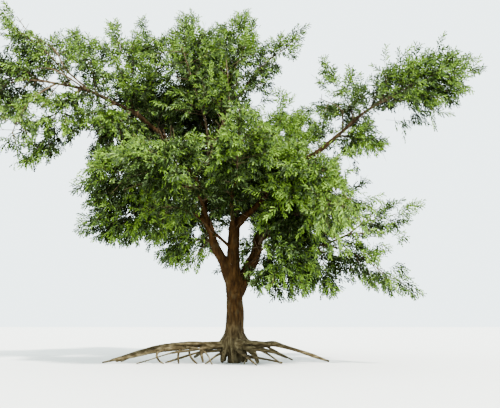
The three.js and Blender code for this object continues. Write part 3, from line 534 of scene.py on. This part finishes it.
def mesh_piece(name, corners, triangles, material, smooth=True, normals=None):
    """A piece of the tree made from arrays, with one material."""
    mesh = new_mesh(name, corners, triangles, smooth)
    mesh.validate()
    if normals is not None:
        mesh.normals_split_custom_set_from_vertices(normals.tolist())
    mesh.materials.append(material)
    piece = new_object(name, mesh)
    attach(piece, "root")
    return piece


def smooth_noise(spots, seed):
    """Even noise between 0 and 1 in space, from a hash of whole-number places."""
    base = np.floor(spots).astype(np.int64)
    part = spots - base
    part = part**3 * (part * (part * 6 - 15) + 10)
    total = np.zeros(len(spots))
    for corner in range(8):
        offset = np.array([corner & 1, corner >> 1 & 1, corner >> 2 & 1])
        key = base + offset
        mixed = (key[:, 0] * 73856093) ^ (key[:, 1] * 19349663) ^ (key[:, 2] * 83492791) ^ (seed * 2654435761)
        mixed = (mixed ^ (mixed >> 13)) & 0x7FFFFFFF
        mixed = (mixed * 1274126177 + 12345) & 0x7FFFFFFF
        mixed = ((mixed ^ (mixed >> 15)) * 1103515245 + 777) & 0x7FFFFFFF
        weight = np.prod(np.where(offset == 1, part, 1 - part), axis=1)
        total += weight * (mixed / 0x7FFFFFFF)
    return total


# Limbs: each has an axis of close places and a radius at each of them
limbs = {}


def limb_length(places):
    return sum(np.linalg.norm(b - a) for a, b in zip(places, places[1:]))


def tapering(start, between, tip, thick, thin):
    """A bough's or root's axis and radius, swollen where it leaves its parent."""
    places = np.array([start, *between, tip], dtype=float)
    length = limb_length(places)
    shares = np.linspace(0, 1, max(FEWEST_PLACES, int(length / LIMB_SPACING)))
    axis = np.array([on_curve(places, share) for share in shares])
    swell = FOOT_SWELL * thick * np.exp(-shares * length / (thick * FOOT_REACH))
    return axis, thin + (thick - thin) * (1 - shares) ** LIMB_TAPER + swell


def crooked(axis, radius, seed):
    """A limb with small bends and swellings, and its two ends where they were."""
    rng = np.random.default_rng(seed)
    run = np.linspace(0, 1, len(axis)) * limb_length(axis)
    hold = np.sin(np.linspace(0, 1, len(axis)) * math.pi)
    ways = frames(axis)
    for k in (1, 2):
        wave = sum(np.sin(run * rate + dealt(rng, "turn")) for rate in CROOK_RATES) / 2
        axis = axis + ways[:, k] * (wave * hold * radius * CROOK_SIZE)[:, None]
    return axis, radius * (1 + SWELL_SIZE * np.sin(run * SWELL_RATE + dealt(rng, "turn")))


def trunk_rings(axis, radius):
    """The trunk's radius all round at each place, swollen towards each root at its collar."""
    ring = ring_ways(axis, TRUNK_SIDES)
    heading = np.arctan2(ring[:, :, 1], ring[:, :, 0])
    height = axis[:, 2:]
    pull = np.zeros_like(heading)
    for name, start, between, *_ in ROOTS:
        if name != "left_prop":  # it leaves another root
            root = math.atan2(between[0][1] - start[1], between[0][0] - start[0])
            pull = np.maximum(pull, np.maximum(np.cos(heading - root), 0) ** COLLAR_SHARPNESS)
    lobe = np.exp(-(((height - COLLAR_HEIGHT) / COLLAR_SPREAD) ** 2)) * COLLAR_SWELL
    fading = np.clip(1 - height / FLUTE_TOP, 0, 1)
    flutes = FLUTE_DEPTH * np.sin(heading * FLUTES + height * FLUTE_TWIST) * fading
    return radius[:, None] + lobe * pull + flutes


def grow_limbs():
    """Every limb's axis and radius under its name."""
    places = np.array(TRUNK_PLACES, dtype=float)
    axis = np.array([on_curve(places, share) for share in np.linspace(0, 1, TRUNK_RINGS)])
    limbs["trunk"] = axis, np.interp(axis[:, 2], TRUNK_HEIGHTS, TRUNK_RADII)
    for name, parent, share, *row in BOUGHS + THIN_BOUGHS:
        limbs[name] = tapering(on_curve(limbs[parent][0], share), *row)


def plunging_roots():
    """Short stout roots from the collar to the ground, in an uneven ring round the trunk's foot."""
    rng = random.Random(SEEDS["plunging roots"])
    rows = []
    for number in range(PLUNGING_ROOTS):
        turn = (number + dealt(rng, "root turn")) / PLUNGING_ROOTS * 2 * math.pi
        out = np.array([math.cos(turn), math.sin(turn), 0.0])
        beside = np.array([-out[1], out[0], 0.0])
        start, knee = (out * away + UP * height for away, height in (PLUNGING_START, PLUNGING_KNEE))
        tip = out * rng.uniform(*PLUNGING_FEET) + beside * dealt(rng, "root swing") + UP * PLUNGING_END
        rows.append((start, [knee], tip, PLUNGING_RADII[0] * dealt(rng, "root radius"), PLUNGING_RADII[1]))
    return rows


def crooked_bars(straight, kind, swelling=0.0):
    """The axes and closed bars of some limbs, a little crooked."""
    seed, sides = CROOKED[kind]
    bars = []
    for index, limb in enumerate(straight):
        axis, radius = crooked(*limb, seed + index)
        bars.append((axis, tube(axis, radius + swelling, sides)))
    return bars


def wood_bars():
    """The axes and closed bars that the wood is made of: trunk, boughs and roots."""
    axis, radius = limbs["trunk"]
    bars = [(axis, tube(axis, trunk_rings(axis, radius), TRUNK_SIDES))]
    bars += crooked_bars([limbs[row[0]] for row in BOUGHS], "boughs", SKIN_LOSS)
    bars += crooked_bars([tapering(*row[1:]) for row in ROOTS], "roots")
    return bars + crooked_bars([tapering(*row) for row in ROOT_STRANDS + plunging_roots()], "strands")


def remeshed(corners, triangles):
    """One even skin around several overlapping closed bars."""
    rough = new_object("wood_rough", new_mesh("wood_rough", corners, triangles))
    skin = rough.modifiers.new("skin", "REMESH")
    skin.mode = "VOXEL"
    skin.voxel_size = WOOD_VOXEL
    skinned = rough.evaluated_get(bpy.context.evaluated_depsgraph_get()).to_mesh()
    skinned.calc_loop_triangles()
    spots = np.array([tuple(corner.co) for corner in skinned.vertices])
    faces = np.array([tuple(face.vertices) for face in skinned.loop_triangles])
    bpy.data.objects.remove(rough)
    return spots, faces


def summed(index, vectors, count):
    """The sum of the vectors that fall to each of a number of corners."""
    return np.column_stack([np.bincount(index, vectors[:, way], count) for way in range(3)])


def relaxed(corners, triangles):
    """Corners moved half way to the middle of their neighbours, some rounds over."""
    pairs = np.concatenate([triangles[:, [0, 1]], triangles[:, [1, 2]], triangles[:, [2, 0]]])
    one, other = np.unique(np.sort(pairs, axis=1), axis=0).T
    count = len(corners)
    degree = np.bincount(np.concatenate([one, other]), minlength=count)[:, None]
    for _ in range(SKIN_ROUNDS):
        total = summed(one, corners[other], count) + summed(other, corners[one], count)
        corners = corners + (total / degree - corners) * 0.5
    return corners


def corner_normals(corners, triangles):
    a, b, c = (corners[triangles[:, k]] for k in range(3))
    face = np.cross(b - a, c - a)
    normals = sum(summed(triangles[:, k], face, len(corners)) for k in range(3))
    return normals / np.maximum(np.linalg.norm(normals, axis=1, keepdims=True), 1e-12)


def straightened(corners, bars):
    """Each corner's place as if its limb were straight, round the limb in X and Y and along it in Z, and its
    distance from the limb's axis."""
    rows, start = [], 0.0
    for axis, _ in bars:
        run = start + np.concatenate([[0], np.cumsum(np.linalg.norm(np.diff(axis, axis=0), axis=1))])
        rows.append(np.column_stack([axis, frames(axis).reshape(-1, 9), run]))
        start = run[-1] + LIMBS_APART
    rows = np.concatenate(rows)
    tree = KDTree(len(rows))
    for index, row in enumerate(rows):
        tree.insert(row[:3], index)
    tree.balance()
    near = rows[[tree.find(spot)[1] for spot in corners]]
    offset = corners - near[:, :3]
    onward, across, over = (np.sum(offset * near[:, k:k + 3], axis=1) for k in (3, 6, 9))
    return np.column_stack([across, over, near[:, 12] + onward]), np.hypot(across, over)


def bark_relief(corners, triangles, bars):
    """Corners pushed in and out by furrows along the limb, flakes and lumps."""
    flat, radius = straightened(corners, bars)
    warp = smooth_noise(flat / WARP_SIZE, 5)[:, None] * [WARP_REACH, WARP_REACH, 0.0]
    ridge = 1 - np.abs(2 * smooth_noise((flat * [1, 1, FURROW_STRETCH] + warp) / FURROW_WIDTH, 1) - 1)
    flake = smooth_noise(flat / FLAKE_SIZE, 2) - 0.5
    lump = smooth_noise(flat * [1, 1, LUMP_STRETCH] / LUMP_SIZE, 3) - 0.5
    scale = np.clip(radius / RELIEF_RADIUS, *RELIEF_LIMITS) ** RELIEF_POWER
    push = scale * (FURROW_DEPTH * (ridge - RIDGE_MIDDLE) + FLAKE_DEPTH * flake + LUMP_DEPTH * lump)
    return corners + corner_normals(corners, triangles) * push[:, None]


def make_wood():
    bars = wood_bars()
    corners, triangles = remeshed(*joined([bar for _, bar in bars]))
    corners = bark_relief(relaxed(corners, triangles), triangles, bars)
    corners[:, 2] = np.maximum(corners[:, 2], 0.0)
    normals = corner_normals(corners, triangles)
    middle = corners[triangles].mean(axis=1)
    roots = (middle[:, 2] < ROOT_TOP) & (np.hypot(middle[:, 0], middle[:, 1]) > ROOT_START)
    upper = middle[:, 2] >= SPLIT_HEIGHT
    bark = bark_material("bark", BARK_TONES, foot_tones=FOOT_TONES, arm_tones=ARM_TONES)
    root_bark = bark_material("root_bark", ROOT_TONES, ROOT_STREAKS)
    for name, keep, material, slot, replaced in (
            ("bare_roots", roots, root_bark, "root", [f"root_{row[0]}" for row in ROOTS]),
            ("trunk_foot", ~roots & ~upper, bark, "bark", ["trunk"]),
            ("trunk_top_and_boughs", upper, bark, "bark", [f"bough_{row[0]}" for row in BOUGHS])):
        used, renumbered = np.unique(triangles[keep], return_inverse=True)
        some_triangles = renumbered.reshape(-1, 3)
        piece = mesh_piece(name, corners[used], some_triangles, material, normals=normals[used])
        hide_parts(*replaced)


def make_fine_roots():
    bars = crooked_bars([tapering(*row) for row in FINE_ROOTS], "fine roots")
    corners, triangles = joined([bar for _, bar in bars])
    corners[:, 2] = np.maximum(corners[:, 2], 0.0)
    mesh_piece("fine_roots", corners, triangles, bark_material("fine_root_bark", ROOT_TONES))


# Masses of foliage
class Space:
    """The egg-shaped space of one mass, from its stem's foot to its far end."""

    def __init__(self, name, bough, share, end, across, deep):
        self.name = name
        self.foot = on_curve(limbs[bough][0], share)
        way = np.array(end) - self.foot
        self.length = np.linalg.norm(way)
        self.along = way / self.length
        across_way = np.array([self.along[1], -self.along[0], 0.0])
        if np.linalg.norm(across_way) < UPRIGHT:
            across_way = np.array([0.0, 1.0, 0.0])
        across_way = unit(across_way - self.along * across_way.dot(self.along))
        lift = np.cross(across_way, self.along)
        self.lift = lift if lift[2] >= 0 else -lift
        self.middle = (self.foot + np.array(end)) / 2
        self.half = np.array([self.length, across, deep]) / 2
        self.turned = np.stack([self.along, across_way, self.lift])

    def measure(self, spots):
        """Places in the space's own measure, in which it is a ball of radius 1."""
        return (np.asarray(spots) - self.middle) @ self.turned.T / self.half

    def outward(self, spot):
        """The way from a place straight towards the skin of the space."""
        return unit((self.measure(spot) / self.half) @ self.turned)

    def reach(self, spot, direction):
        """The distance from a place, along a direction, to the edge of the space."""
        here = self.measure(spot)
        step = self.measure(spot + direction) - here
        a, b, c = step.dot(step), here.dot(step), here.dot(here) - 1
        return (-b + math.sqrt(max(b * b - a * c, 0))) / a


def leaning(ways, lean, turn):
    """A direction that leans by an angle away from the first of three square ones, at a turn about it."""
    along, side, lift = ways
    return along * math.cos(lean) + (side * math.cos(turn) + lift * math.sin(turn)) * math.sin(lean)


def stem_axis(space):
    length = max(space.length - SOLID_LEAF, space.length * SHORTEST_STEM)
    shares = np.linspace(0, 1, BARS["stem"][0])[:, None]
    arch = STEM_ARCH * space.length * 4 * shares * (1 - shares)
    return space.foot + space.along * shares * length + space.lift * arch


def bent(start, direction, length, bend, kind):
    """A twig's axis: straight at first, then bent more and more the way of "bend"."""
    shares = np.linspace(0, 1, BARS[kind][0])[:, None]
    return start + direction * shares * length + bend * shares**2 * length


def tapered(axis, kind):
    """The axis, radii and number of sides of a bar."""
    count, thick, thin, sides = BARS[kind]
    return axis, np.linspace(thick, thin, count), sides


def grow_mass(own, spaces, rng):
    """The bars of one mass's stem and twigs, and the shoots that bear its leaves. Each shoot has an axis, how
    far out in its mass it ends, and how much lighter its painted green is than its place tells."""
    space = spaces[own]
    stem = stem_axis(space)
    bars, shoots = [tapered(stem, "stem")], []
    rises = max(space.along[2], 0)
    middles = np.array([other.middle for other in spaces])
    turned = np.array([other.turned / other.half[:, None] for other in spaces])

    def owned(spot):
        places = np.einsum("nij,nj->ni", turned, spot - middles)
        places[:, 1:] *= 1 + TIP_TAPER * np.maximum(places[:, :1], 0)
        depths = np.linalg.norm(places, axis=1)
        depth, depths[own] = depths[own], np.inf
        nearest = depths.min()
        return nearest > depth * OWN_MARGIN and (depth < SPACE_EDGE or max(depth, nearest) < GAP_EDGE)

    def fitted(start, direction, length, bend, fit):
        """The length at which a twig stays in its mass, or 0 where that is too short."""
        least, cut = fit
        while length > least and not owned(start + (direction + bend) * length):
            length *= cut
        return length if length > least else 0

    def shoot(start, direction, length, tone):
        direction = unit(direction)
        bend = UP * dealt(rng, "shoot bend") + UP * SHOOT_RISE * rises
        length = fitted(start, direction, length, bend, SHOOT_FIT)
        if length:
            axis = bent(start, direction, length, bend, "shoot")
            depth = np.linalg.norm(space.measure(axis[-1]))
            shoots.append((axis, depth, tone + rng.gauss(0, TONE_PLAY["shoot"])))

    crowding = LEAST_CROWDING + (1 - LEAST_CROWDING) * space.half[1] * 2 / USUAL_WIDTH
    crowding *= OPEN_MASSES.get(space.name, 1)
    twigs = max(FEWEST_TWIGS, round(space.length * TWIGS_A_METRE * crowding))
    for number in range(twigs + 1):
        share = FIRST_TWIG + (1 - FIRST_TWIG) * number / twigs
        root = on_curve(stem, share)
        lean = LEAN_LOW + (LEAN_HIGH - LEAN_LOW) * share
        turn = number * GOLDEN_TURN + dealt(rng, "twig turn")
        direction, play = space.along, 1.0
        if number < twigs:
            direction = unit(leaning(space.turned, lean, turn))
            play = dealt(rng, "twig length")
        bend = UP * dealt(rng, "twig bend") + UP * TWIG_RISE * rises
        length = fitted(root, direction, space.reach(root, direction) * play, bend, TWIG_FIT)
        if not length:
            continue
        axis = bent(root, direction, length, bend, "twig")
        bars.append(tapered(axis, "twig"))
        ways = frames(axis)
        count = max(2, int(length / SHOOT_SPACING))
        tone = rng.gauss(MASS_PAINTED_LIGHT.get(space.name, 0), TONE_PLAY["twig"])
        for step in range(count):
            place = SHOOT_START + SHOOT_STRETCH * (step + dealt(rng, "shoot step")) / count
            spin = step * GOLDEN_TURN + dealt(rng, "shoot turn")
            start = on_curve(axis, place)
            way = leaning(ways[span_at(axis, place)], SHOOT_LEAN * dealt(rng, "shoot lean"), spin)
            long = SHOOT_LENGTH * dealt(rng, "shoot length") * (SHOOT_TAPER[0] - SHOOT_TAPER[1] * place)
            shoot(start, way + space.outward(start) * SHOOT_OUTWARD, long, tone)
        way = ways[-1, 0] + UP * dealt(rng, "end rise")
        shoot(axis[-1], way, SHOOT_LENGTH * dealt(rng, "end length"), tone)
    return bars, shoots


def grow_sprays(rng):
    """The bars and shoots of the sprays that grow straight from the limbs inside the crown."""
    bars, shoots = [], []
    thin_boughs = [row[0] for row in THIN_BOUGHS]
    for name, first, *rest in SPRAY_LIMBS:
        last, spacing, spray_length = (*rest, *USUAL_SPRAYS[len(rest):])
        depth = OUTER_DEPTH if name in thin_boughs else INNER_DEPTH
        axis, _ = limbs[name]
        ways = frames(axis)
        count = max(2, int(limb_length(axis) * (last - first) / spacing))
        turn = dealt(rng, "turn")
        for number in range(count):
            share = first + (last - first) * (number + dealt(rng, "spray step")) / count
            index = span_at(axis, share)
            turn += GOLDEN_TURN
            way = leaning(ways[index], math.radians(dealt(rng, "spray lean")), turn)
            long = spray_length * dealt(rng, "spray length")
            twig = bent(axis[index], unit(way), long, UP * dealt(rng, "spray bend"), "spray")
            bars.append(tapered(twig, "spray"))
            twig_ways = frames(twig)
            tone = rng.gauss(MASS_PAINTED_LIGHT.get(name, INNER_PAINTED_SHADE), TONE_PLAY["spray"])
            for step in range(SPRAY_SHOOTS):
                place = SPRAY_START + SPRAY_STRETCH * step / (SPRAY_SHOOTS - 1)
                way = unit(leaning(twig_ways[span_at(twig, place)], SHOOT_LEAN, step * GOLDEN_TURN + turn))
                length, rise = dealt(rng, "spray shoot length"), dealt(rng, "spray shoot bend")
                shoot = bent(on_curve(twig, place), way, length, UP * rise, "shoot")
                shoots.append((shoot, depth, tone + rng.gauss(0, TONE_PLAY["spray shoot"])))
    return bars, shoots


def in_picture(spots):
    """Where places fall in the picture, in pixels from its top left corner, and how far off they are."""
    offset = np.asarray(spots) - CAMERA_PLACE
    depth = offset[:, 1] * math.cos(CAMERA_PITCH) + offset[:, 2] * math.sin(CAMERA_PITCH)
    rise = offset[:, 2] * math.cos(CAMERA_PITCH) - offset[:, 1] * math.sin(CAMERA_PITCH)
    scale = PIXELS_A_METRE / depth
    return PICTURE_WIDTH / 2 + offset[:, 0] * scale, PICTURE_HEIGHT / 2 - rise * scale, depth


def in_ovals(across, down, ovals):
    """Which places in the picture lie in some ovals."""
    inside = np.zeros(len(across), dtype=bool)
    for x, y, wide, high in ovals:
        inside |= ((across - x) / wide) ** 2 + ((down - y) / high) ** 2 < 1
    return inside


def ending_at_gaps(bar):
    """A twig's bar cut off where it first runs into a gap of sky."""
    axis, radii, sides = bar
    across, down, _ = in_picture(axis)
    found = np.nonzero(in_ovals(across, down, SKY_GAPS))[0]
    last = max(found[0], 2) if len(found) else len(axis)
    return axis[:last], radii[:last], sides


def in_the_way(spots):
    """Which places would hide a gap of sky, a hollow or a limb that shows in the photograph."""
    across, down, depth = in_picture(spots)
    play = np.random.default_rng(len(spots)).normal(0, GAP_PLAY, (2, len(spots)))
    across, down = across + play[0], down + play[1]
    hides = in_ovals(across, down, SKY_GAPS)
    for *oval, far in HOLLOWS:
        hides |= in_ovals(across, down, [oval]) & (depth < far)
    for name, first, last, margin in SHOWN_LIMBS:
        axis, radius = limbs[name]
        count = len(axis) - 1
        shown = slice(int(first * count), int(last * count) + 1)
        limb_across, limb_down, limb_depth = in_picture(axis[shown])
        reach = (radius[shown] + margin) * PIXELS_A_METRE / limb_depth
        for x, y, far, clear in zip(limb_across, limb_down, limb_depth, reach):
            hides |= ((across - x) ** 2 + (down - y) ** 2 < clear**2) & (depth < far)
    return hides


def leaf_template(droop, fold):
    """One narrow leaf of unit length along X: leaflets on both sides of a folded midrib."""
    corners, triangles = [], []
    for side in (-1, 1):
        for index, (foot_start, foot_end, tip, reach) in enumerate(LEAFLETS):
            turn = fold + LEAFLET_FOLD * index
            for share, out in ((foot_start, 0), (foot_end, 0), (tip, reach)):
                corners.append([share, side * out * math.cos(turn), out * math.sin(turn) - droop * share**2])
            last = len(corners) - 1
            triangles.append((last - 2, last - 1, last) if side > 0 else (last - 1, last - 2, last))
    return np.array(corners), np.array(triangles)


def leaves_on(shoot, tone, rng):
    """Where each leaf of a shoot starts, the way it points, its upper side, its length and its tone."""
    tones = list(LEAF_GREENS)
    axis, depth, _ = shoot
    grown = INNER_LEAF + (1 - INNER_LEAF) * min(depth, 1)
    ways = frames(axis)
    count = max(3, int(limb_length(axis) / LEAF_SPACING))
    spin = dealt(rng, "turn")
    rows = []
    for number in range(count + 1):
        share = min(1.0, LEAF_START + (1 - LEAF_START) * number / count)
        lean = math.radians(LEAF_LEAN - LEAF_CLOSING * share) * dealt(rng, "leaf lean")
        way = leaning(ways[span_at(axis, share)], lean, spin + number * GOLDEN_TURN)
        way = unit(way - UP * LEAF_DROOP * dealt(rng, "leaf droop"))
        tilt = np.array([rng.gauss(0, LEAF_TURN), rng.gauss(0, LEAF_TURN), 1.0])
        size = LEAF_LENGTH * grown * dealt(rng, "leaf size") * (LEAF_TAPER[0] - LEAF_TAPER[1] * share)
        own = round(tone + rng.gauss(0, TONE_PLAY["leaf"]) + FOOT_TONE * (share - OWN_TONE_PLACE))
        rows.append((on_curve(axis, share), way, tilt, size, tones[min(max(own, 0), len(tones) - 1)]))
    return rows


def tones_of(shoots):
    """The number of each shoot's tone, by rank from the most shaded to the most open to the light."""
    tips = np.array([axis[-1] for axis, _, _ in shoots])
    depths, own = np.array([shoot[1:] for shoot in shoots]).T
    shades = np.empty(len(shoots))
    for index, tip in enumerate(tips):
        offset = tips - tip
        distance = np.linalg.norm(offset, axis=1) + 1e-6
        shades[index] = np.sum((distance < SHADE_REACH) & (offset @ LIGHT_WAY > distance * SHADE_CONE))
    # Painted shade: the more shoots stand towards the light, the darker the green a shoot gets
    openness = -SHADE_WEIGHT * shades / shades.mean() + np.minimum(depths, 1) + own
    ranks = openness.argsort().argsort() / len(shoots)
    limits = np.cumsum([row[0] for row in LEAF_GREENS.values()])
    return [min(int(np.searchsorted(limits, rank)), len(limits) - 1) for rank in ranks]


def placed_leaves(rows, templates):
    """The corners and triangles of many leaves, each a turned and sized copy of a template."""
    roots, ways, tilts, sizes = (np.array([row[k] for row in rows]) for k in range(4))
    over = tilts - ways * np.sum(tilts * ways, axis=1, keepdims=True)
    over /= np.linalg.norm(over, axis=1, keepdims=True)
    turned = np.stack([ways, np.cross(over, ways), over], axis=1) * sizes[:, None, None]
    parts = []
    for kind, (corners, triangles) in enumerate(templates):
        chosen = np.arange(kind, len(rows), len(templates))
        spots = np.einsum("vk,nkw->nvw", corners, turned[chosen]) + roots[chosen][:, None]
        offset = np.arange(len(chosen))[:, None, None] * len(corners)
        parts.append((spots.reshape(-1, 3), (triangles[None] + offset).reshape(-1, 3)))
    return joined(parts)


def make_foliage():
    spaces = [Space(*row) for row in MASSES]
    grown = [grow_mass(index, spaces, random.Random(SEEDS["masses"] + index)) for index in range(len(spaces))]
    grown.append(grow_sprays(random.Random(SEEDS["sprays"])))
    bars = [ending_at_gaps(bar) for some_bars, _ in grown for bar in some_bars]
    bars += [(*limbs[row[0]], THIN_BOUGH_SIDES) for row in THIN_BOUGHS]
    shoots = [shoot for _, some_shoots in grown for shoot in some_shoots]
    hides = in_the_way([axis[1] for axis, _, _ in shoots])
    shoots = [shoot for shoot, hidden in zip(shoots, hides) if not hidden]
    shoot_bars = [tapered(axis, "shoot") for axis, _, _ in shoots]
    for name, some_bars, tones in (("twig", bars, TWIG_TONES), ("shoot", shoot_bars, SHOOT_TONES)):
        corners, triangles = joined([tube(*bar) for bar in some_bars])
        mesh_piece(f"{name}s", corners, triangles, bark_material(f"{name}_bark", tones))

    rng = random.Random(SEEDS["leaves"])
    rows = [row for shoot, tone in zip(shoots, tones_of(shoots)) for row in leaves_on(shoot, tone, rng)]
    roots, ways, sizes = (np.array([row[k] for row in rows]) for k in (0, 1, 3))
    tips = roots + ways * sizes[:, None]
    low, high = (np.array(corner) for corner in cad_box)
    kept = np.all((tips > low) & (tips < high), axis=1) & ~in_the_way((roots + tips) / 2)
    templates = [leaf_template(droop, fold) for droop, fold in LEAF_BENDS]
    # One material and piece for each painted green, from painted shade to painted light
    for tone, (_, slot, gloss, *greens) in LEAF_GREENS.items():
        chosen = [row for row, keep in zip(rows, kept) if keep and row[4] == tone]
        corners, triangles = placed_leaves(chosen, templates)
        material = leaf_material(f"leaf_{tone}", greens, gloss)
        piece = mesh_piece(f"leaves_{tone}", corners, triangles, material, smooth=False)
        if tone == "mid":
            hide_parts(*(f"foliage_{space.name}" for space in spaces))


# Materials
def fill(tree, node, sockets):
    """Gives each named input of a node its value, or a link from another node's output."""
    for name, value in sockets.items():
        if isinstance(value, bpy.types.NodeSocket):
            tree.links.new(value, node.inputs[name])
        else:
            node.inputs[name].default_value = value


def add_node(tree, kind, output, sockets, **settings):
    """An output of a new node that has its settings and inputs."""
    node = tree.nodes.new(f"ShaderNode{kind}")
    for name, value in settings.items():
        setattr(node, name, value)
    fill(tree, node, sockets)
    return node.outputs[output]


def add_noise(tree, scale, detail, stretch=(1, 1, 1)):
    """A noise pattern fixed to the object, stretched along its ways."""
    spot = add_node(tree, "TexCoord", "Object", {})
    spot = add_node(tree, "Mapping", "Vector", {"Vector": spot, "Scale": stretch})
    return add_node(tree, "TexNoise", "Fac", {"Vector": spot, "Scale": scale, "Detail": detail})


def add_ramp(tree, value, colours, limits=(0, 1)):
    """Colours that follow a value, evenly spaced between two limits of it."""
    output = add_node(tree, "ValToRGB", "Color", {"Fac": value})
    elements = output.node.color_ramp.elements
    while len(elements) < len(colours):
        elements.new(0.5)
    for element, place, colour in zip(elements, np.linspace(*limits, len(colours)), colours):
        element.position = place
        element.color = (*colour, 1)
    return output


def add_rise(tree, value, limits):
    """A value from 0 to 1 that rises while another does between two limits."""
    low, high = limits
    return add_node(tree, "MapRange", "Result", {"Value": value, "From Min": low, "From Max": high})


def add_mix(tree, share, first, second):
    return add_node(tree, "MixRGB", "Color", {"Fac": share, "Color1": first, "Color2": second})


def add_bump(tree, height, strength, distance):
    return add_node(tree, "Bump", "Normal", {"Height": height, "Strength": strength, "Distance": distance})


def new_material(name):
    material = bpy.data.materials.new(name)
    material.use_nodes = True
    return material, material.node_tree, material.node_tree.nodes["Principled BSDF"]


def bark_material(name, tones, streaks=BARK_STREAKS, foot_tones=None, arm_tones=None):
    """Rough bark with streaks along the limbs and pale patches of lichen. It may have other tones near the
    ground and far out from the trunk."""
    material, tree, shader = new_material(name)
    streak = add_rise(tree, add_noise(tree, STREAK_SCALE, detail=8, stretch=streaks), STREAK_LIMITS)
    colour = add_ramp(tree, streak, tones)
    spot = add_node(tree, "TexCoord", "Object", {})
    if foot_tones:
        risen = add_rise(tree, add_node(tree, "SeparateXYZ", "Z", {"Vector": spot}), FOOT_HEIGHTS)
        colour = add_mix(tree, risen, add_ramp(tree, streak, foot_tones), colour)
    if arm_tones:
        level = add_node(tree, "VectorMath", "Vector", {0: spot, 1: (1, 1, 0)}, operation="MULTIPLY")
        away = add_node(tree, "VectorMath", "Value", {0: level}, operation="LENGTH")
        away = add_rise(tree, away, ARM_DISTANCES)
        colour = add_mix(tree, away, colour, add_ramp(tree, streak, arm_tones))
    patches = add_noise(tree, LICHEN_SCALE, detail=5)
    lichen = add_ramp(tree, patches, [(0, 0, 0), LICHEN_COVER], LICHEN_LIMITS)
    grain = add_noise(tree, BARK_GRAIN, detail=8, stretch=GRAIN_STRETCH)
    fill(tree, shader, {"Base Color": add_mix(tree, lichen, colour, LICHEN_COLOUR), "Roughness": 0.9,
                        "Specular IOR Level": 0.15,
                        "Normal": add_bump(tree, grain, strength=0.6, distance=0.01)})
    return material


def leaf_material(name, greens, gloss):
    """Leaves of one green, uneven from spray to spray and with a soft shine."""
    material, tree, shader = new_material(name)
    colour = add_ramp(tree, add_noise(tree, LEAF_PATCHES, detail=3), greens, LEAF_LIMITS)
    grain = add_noise(tree, LEAF_GRAIN, detail=2)
    fill(tree, shader, {"Base Color": colour, "Roughness": 0.5, "Specular IOR Level": gloss,
                        "Normal": add_bump(tree, grain, strength=0.3, distance=0.004)})
    return material


# Camera, floor and light
def make_camera():
    data = bpy.data.cameras.new("camera")
    data.lens = CAMERA_LENS
    data.sensor_width = SENSOR_WIDTH
    data.clip_end = VIEW_END
    camera = new_object("camera", data)
    camera.location = CAMERA_PLACE
    camera.rotation_euler = (math.pi / 2 + CAMERA_PITCH, 0, 0)
    bpy.context.scene.camera = camera


def make_floor():
    corners = np.array([(-1, -1, 0), (1, -1, 0), (1, 1, 0), (-1, 1, 0)]) * FLOOR_SIZE / 2
    mesh = new_mesh("floor", corners, np.array([(0, 1, 2, 3)]), smooth=False)
    material, tree, shader = new_material("floor")
    fill(tree, shader, {"Base Color": FLOOR_COLOUR, "Roughness": 0.9})
    mesh.materials.append(material)
    new_object("floor", mesh)


def make_light():
    world = bpy.data.worlds.new("sky")
    world.use_nodes = True
    tree = world.node_tree
    fill(tree, tree.nodes["Background"], {"Color": SKY_COLOUR, "Strength": SKY_STRENGTH})
    bpy.context.scene.world = world
    bpy.context.scene.view_settings.look = "AgX - Medium High Contrast"
    data = bpy.data.lights.new("sun", "SUN")
    data.energy = SUN_STRENGTH
    data.angle = SUN_WIDTH
    data.color = SUN_COLOUR
    new_object("sun", data).rotation_euler = SUN_TURN


make_camera()
make_floor()
make_light()
grow_limbs()
make_wood()
make_fine_roots()
make_foliage()
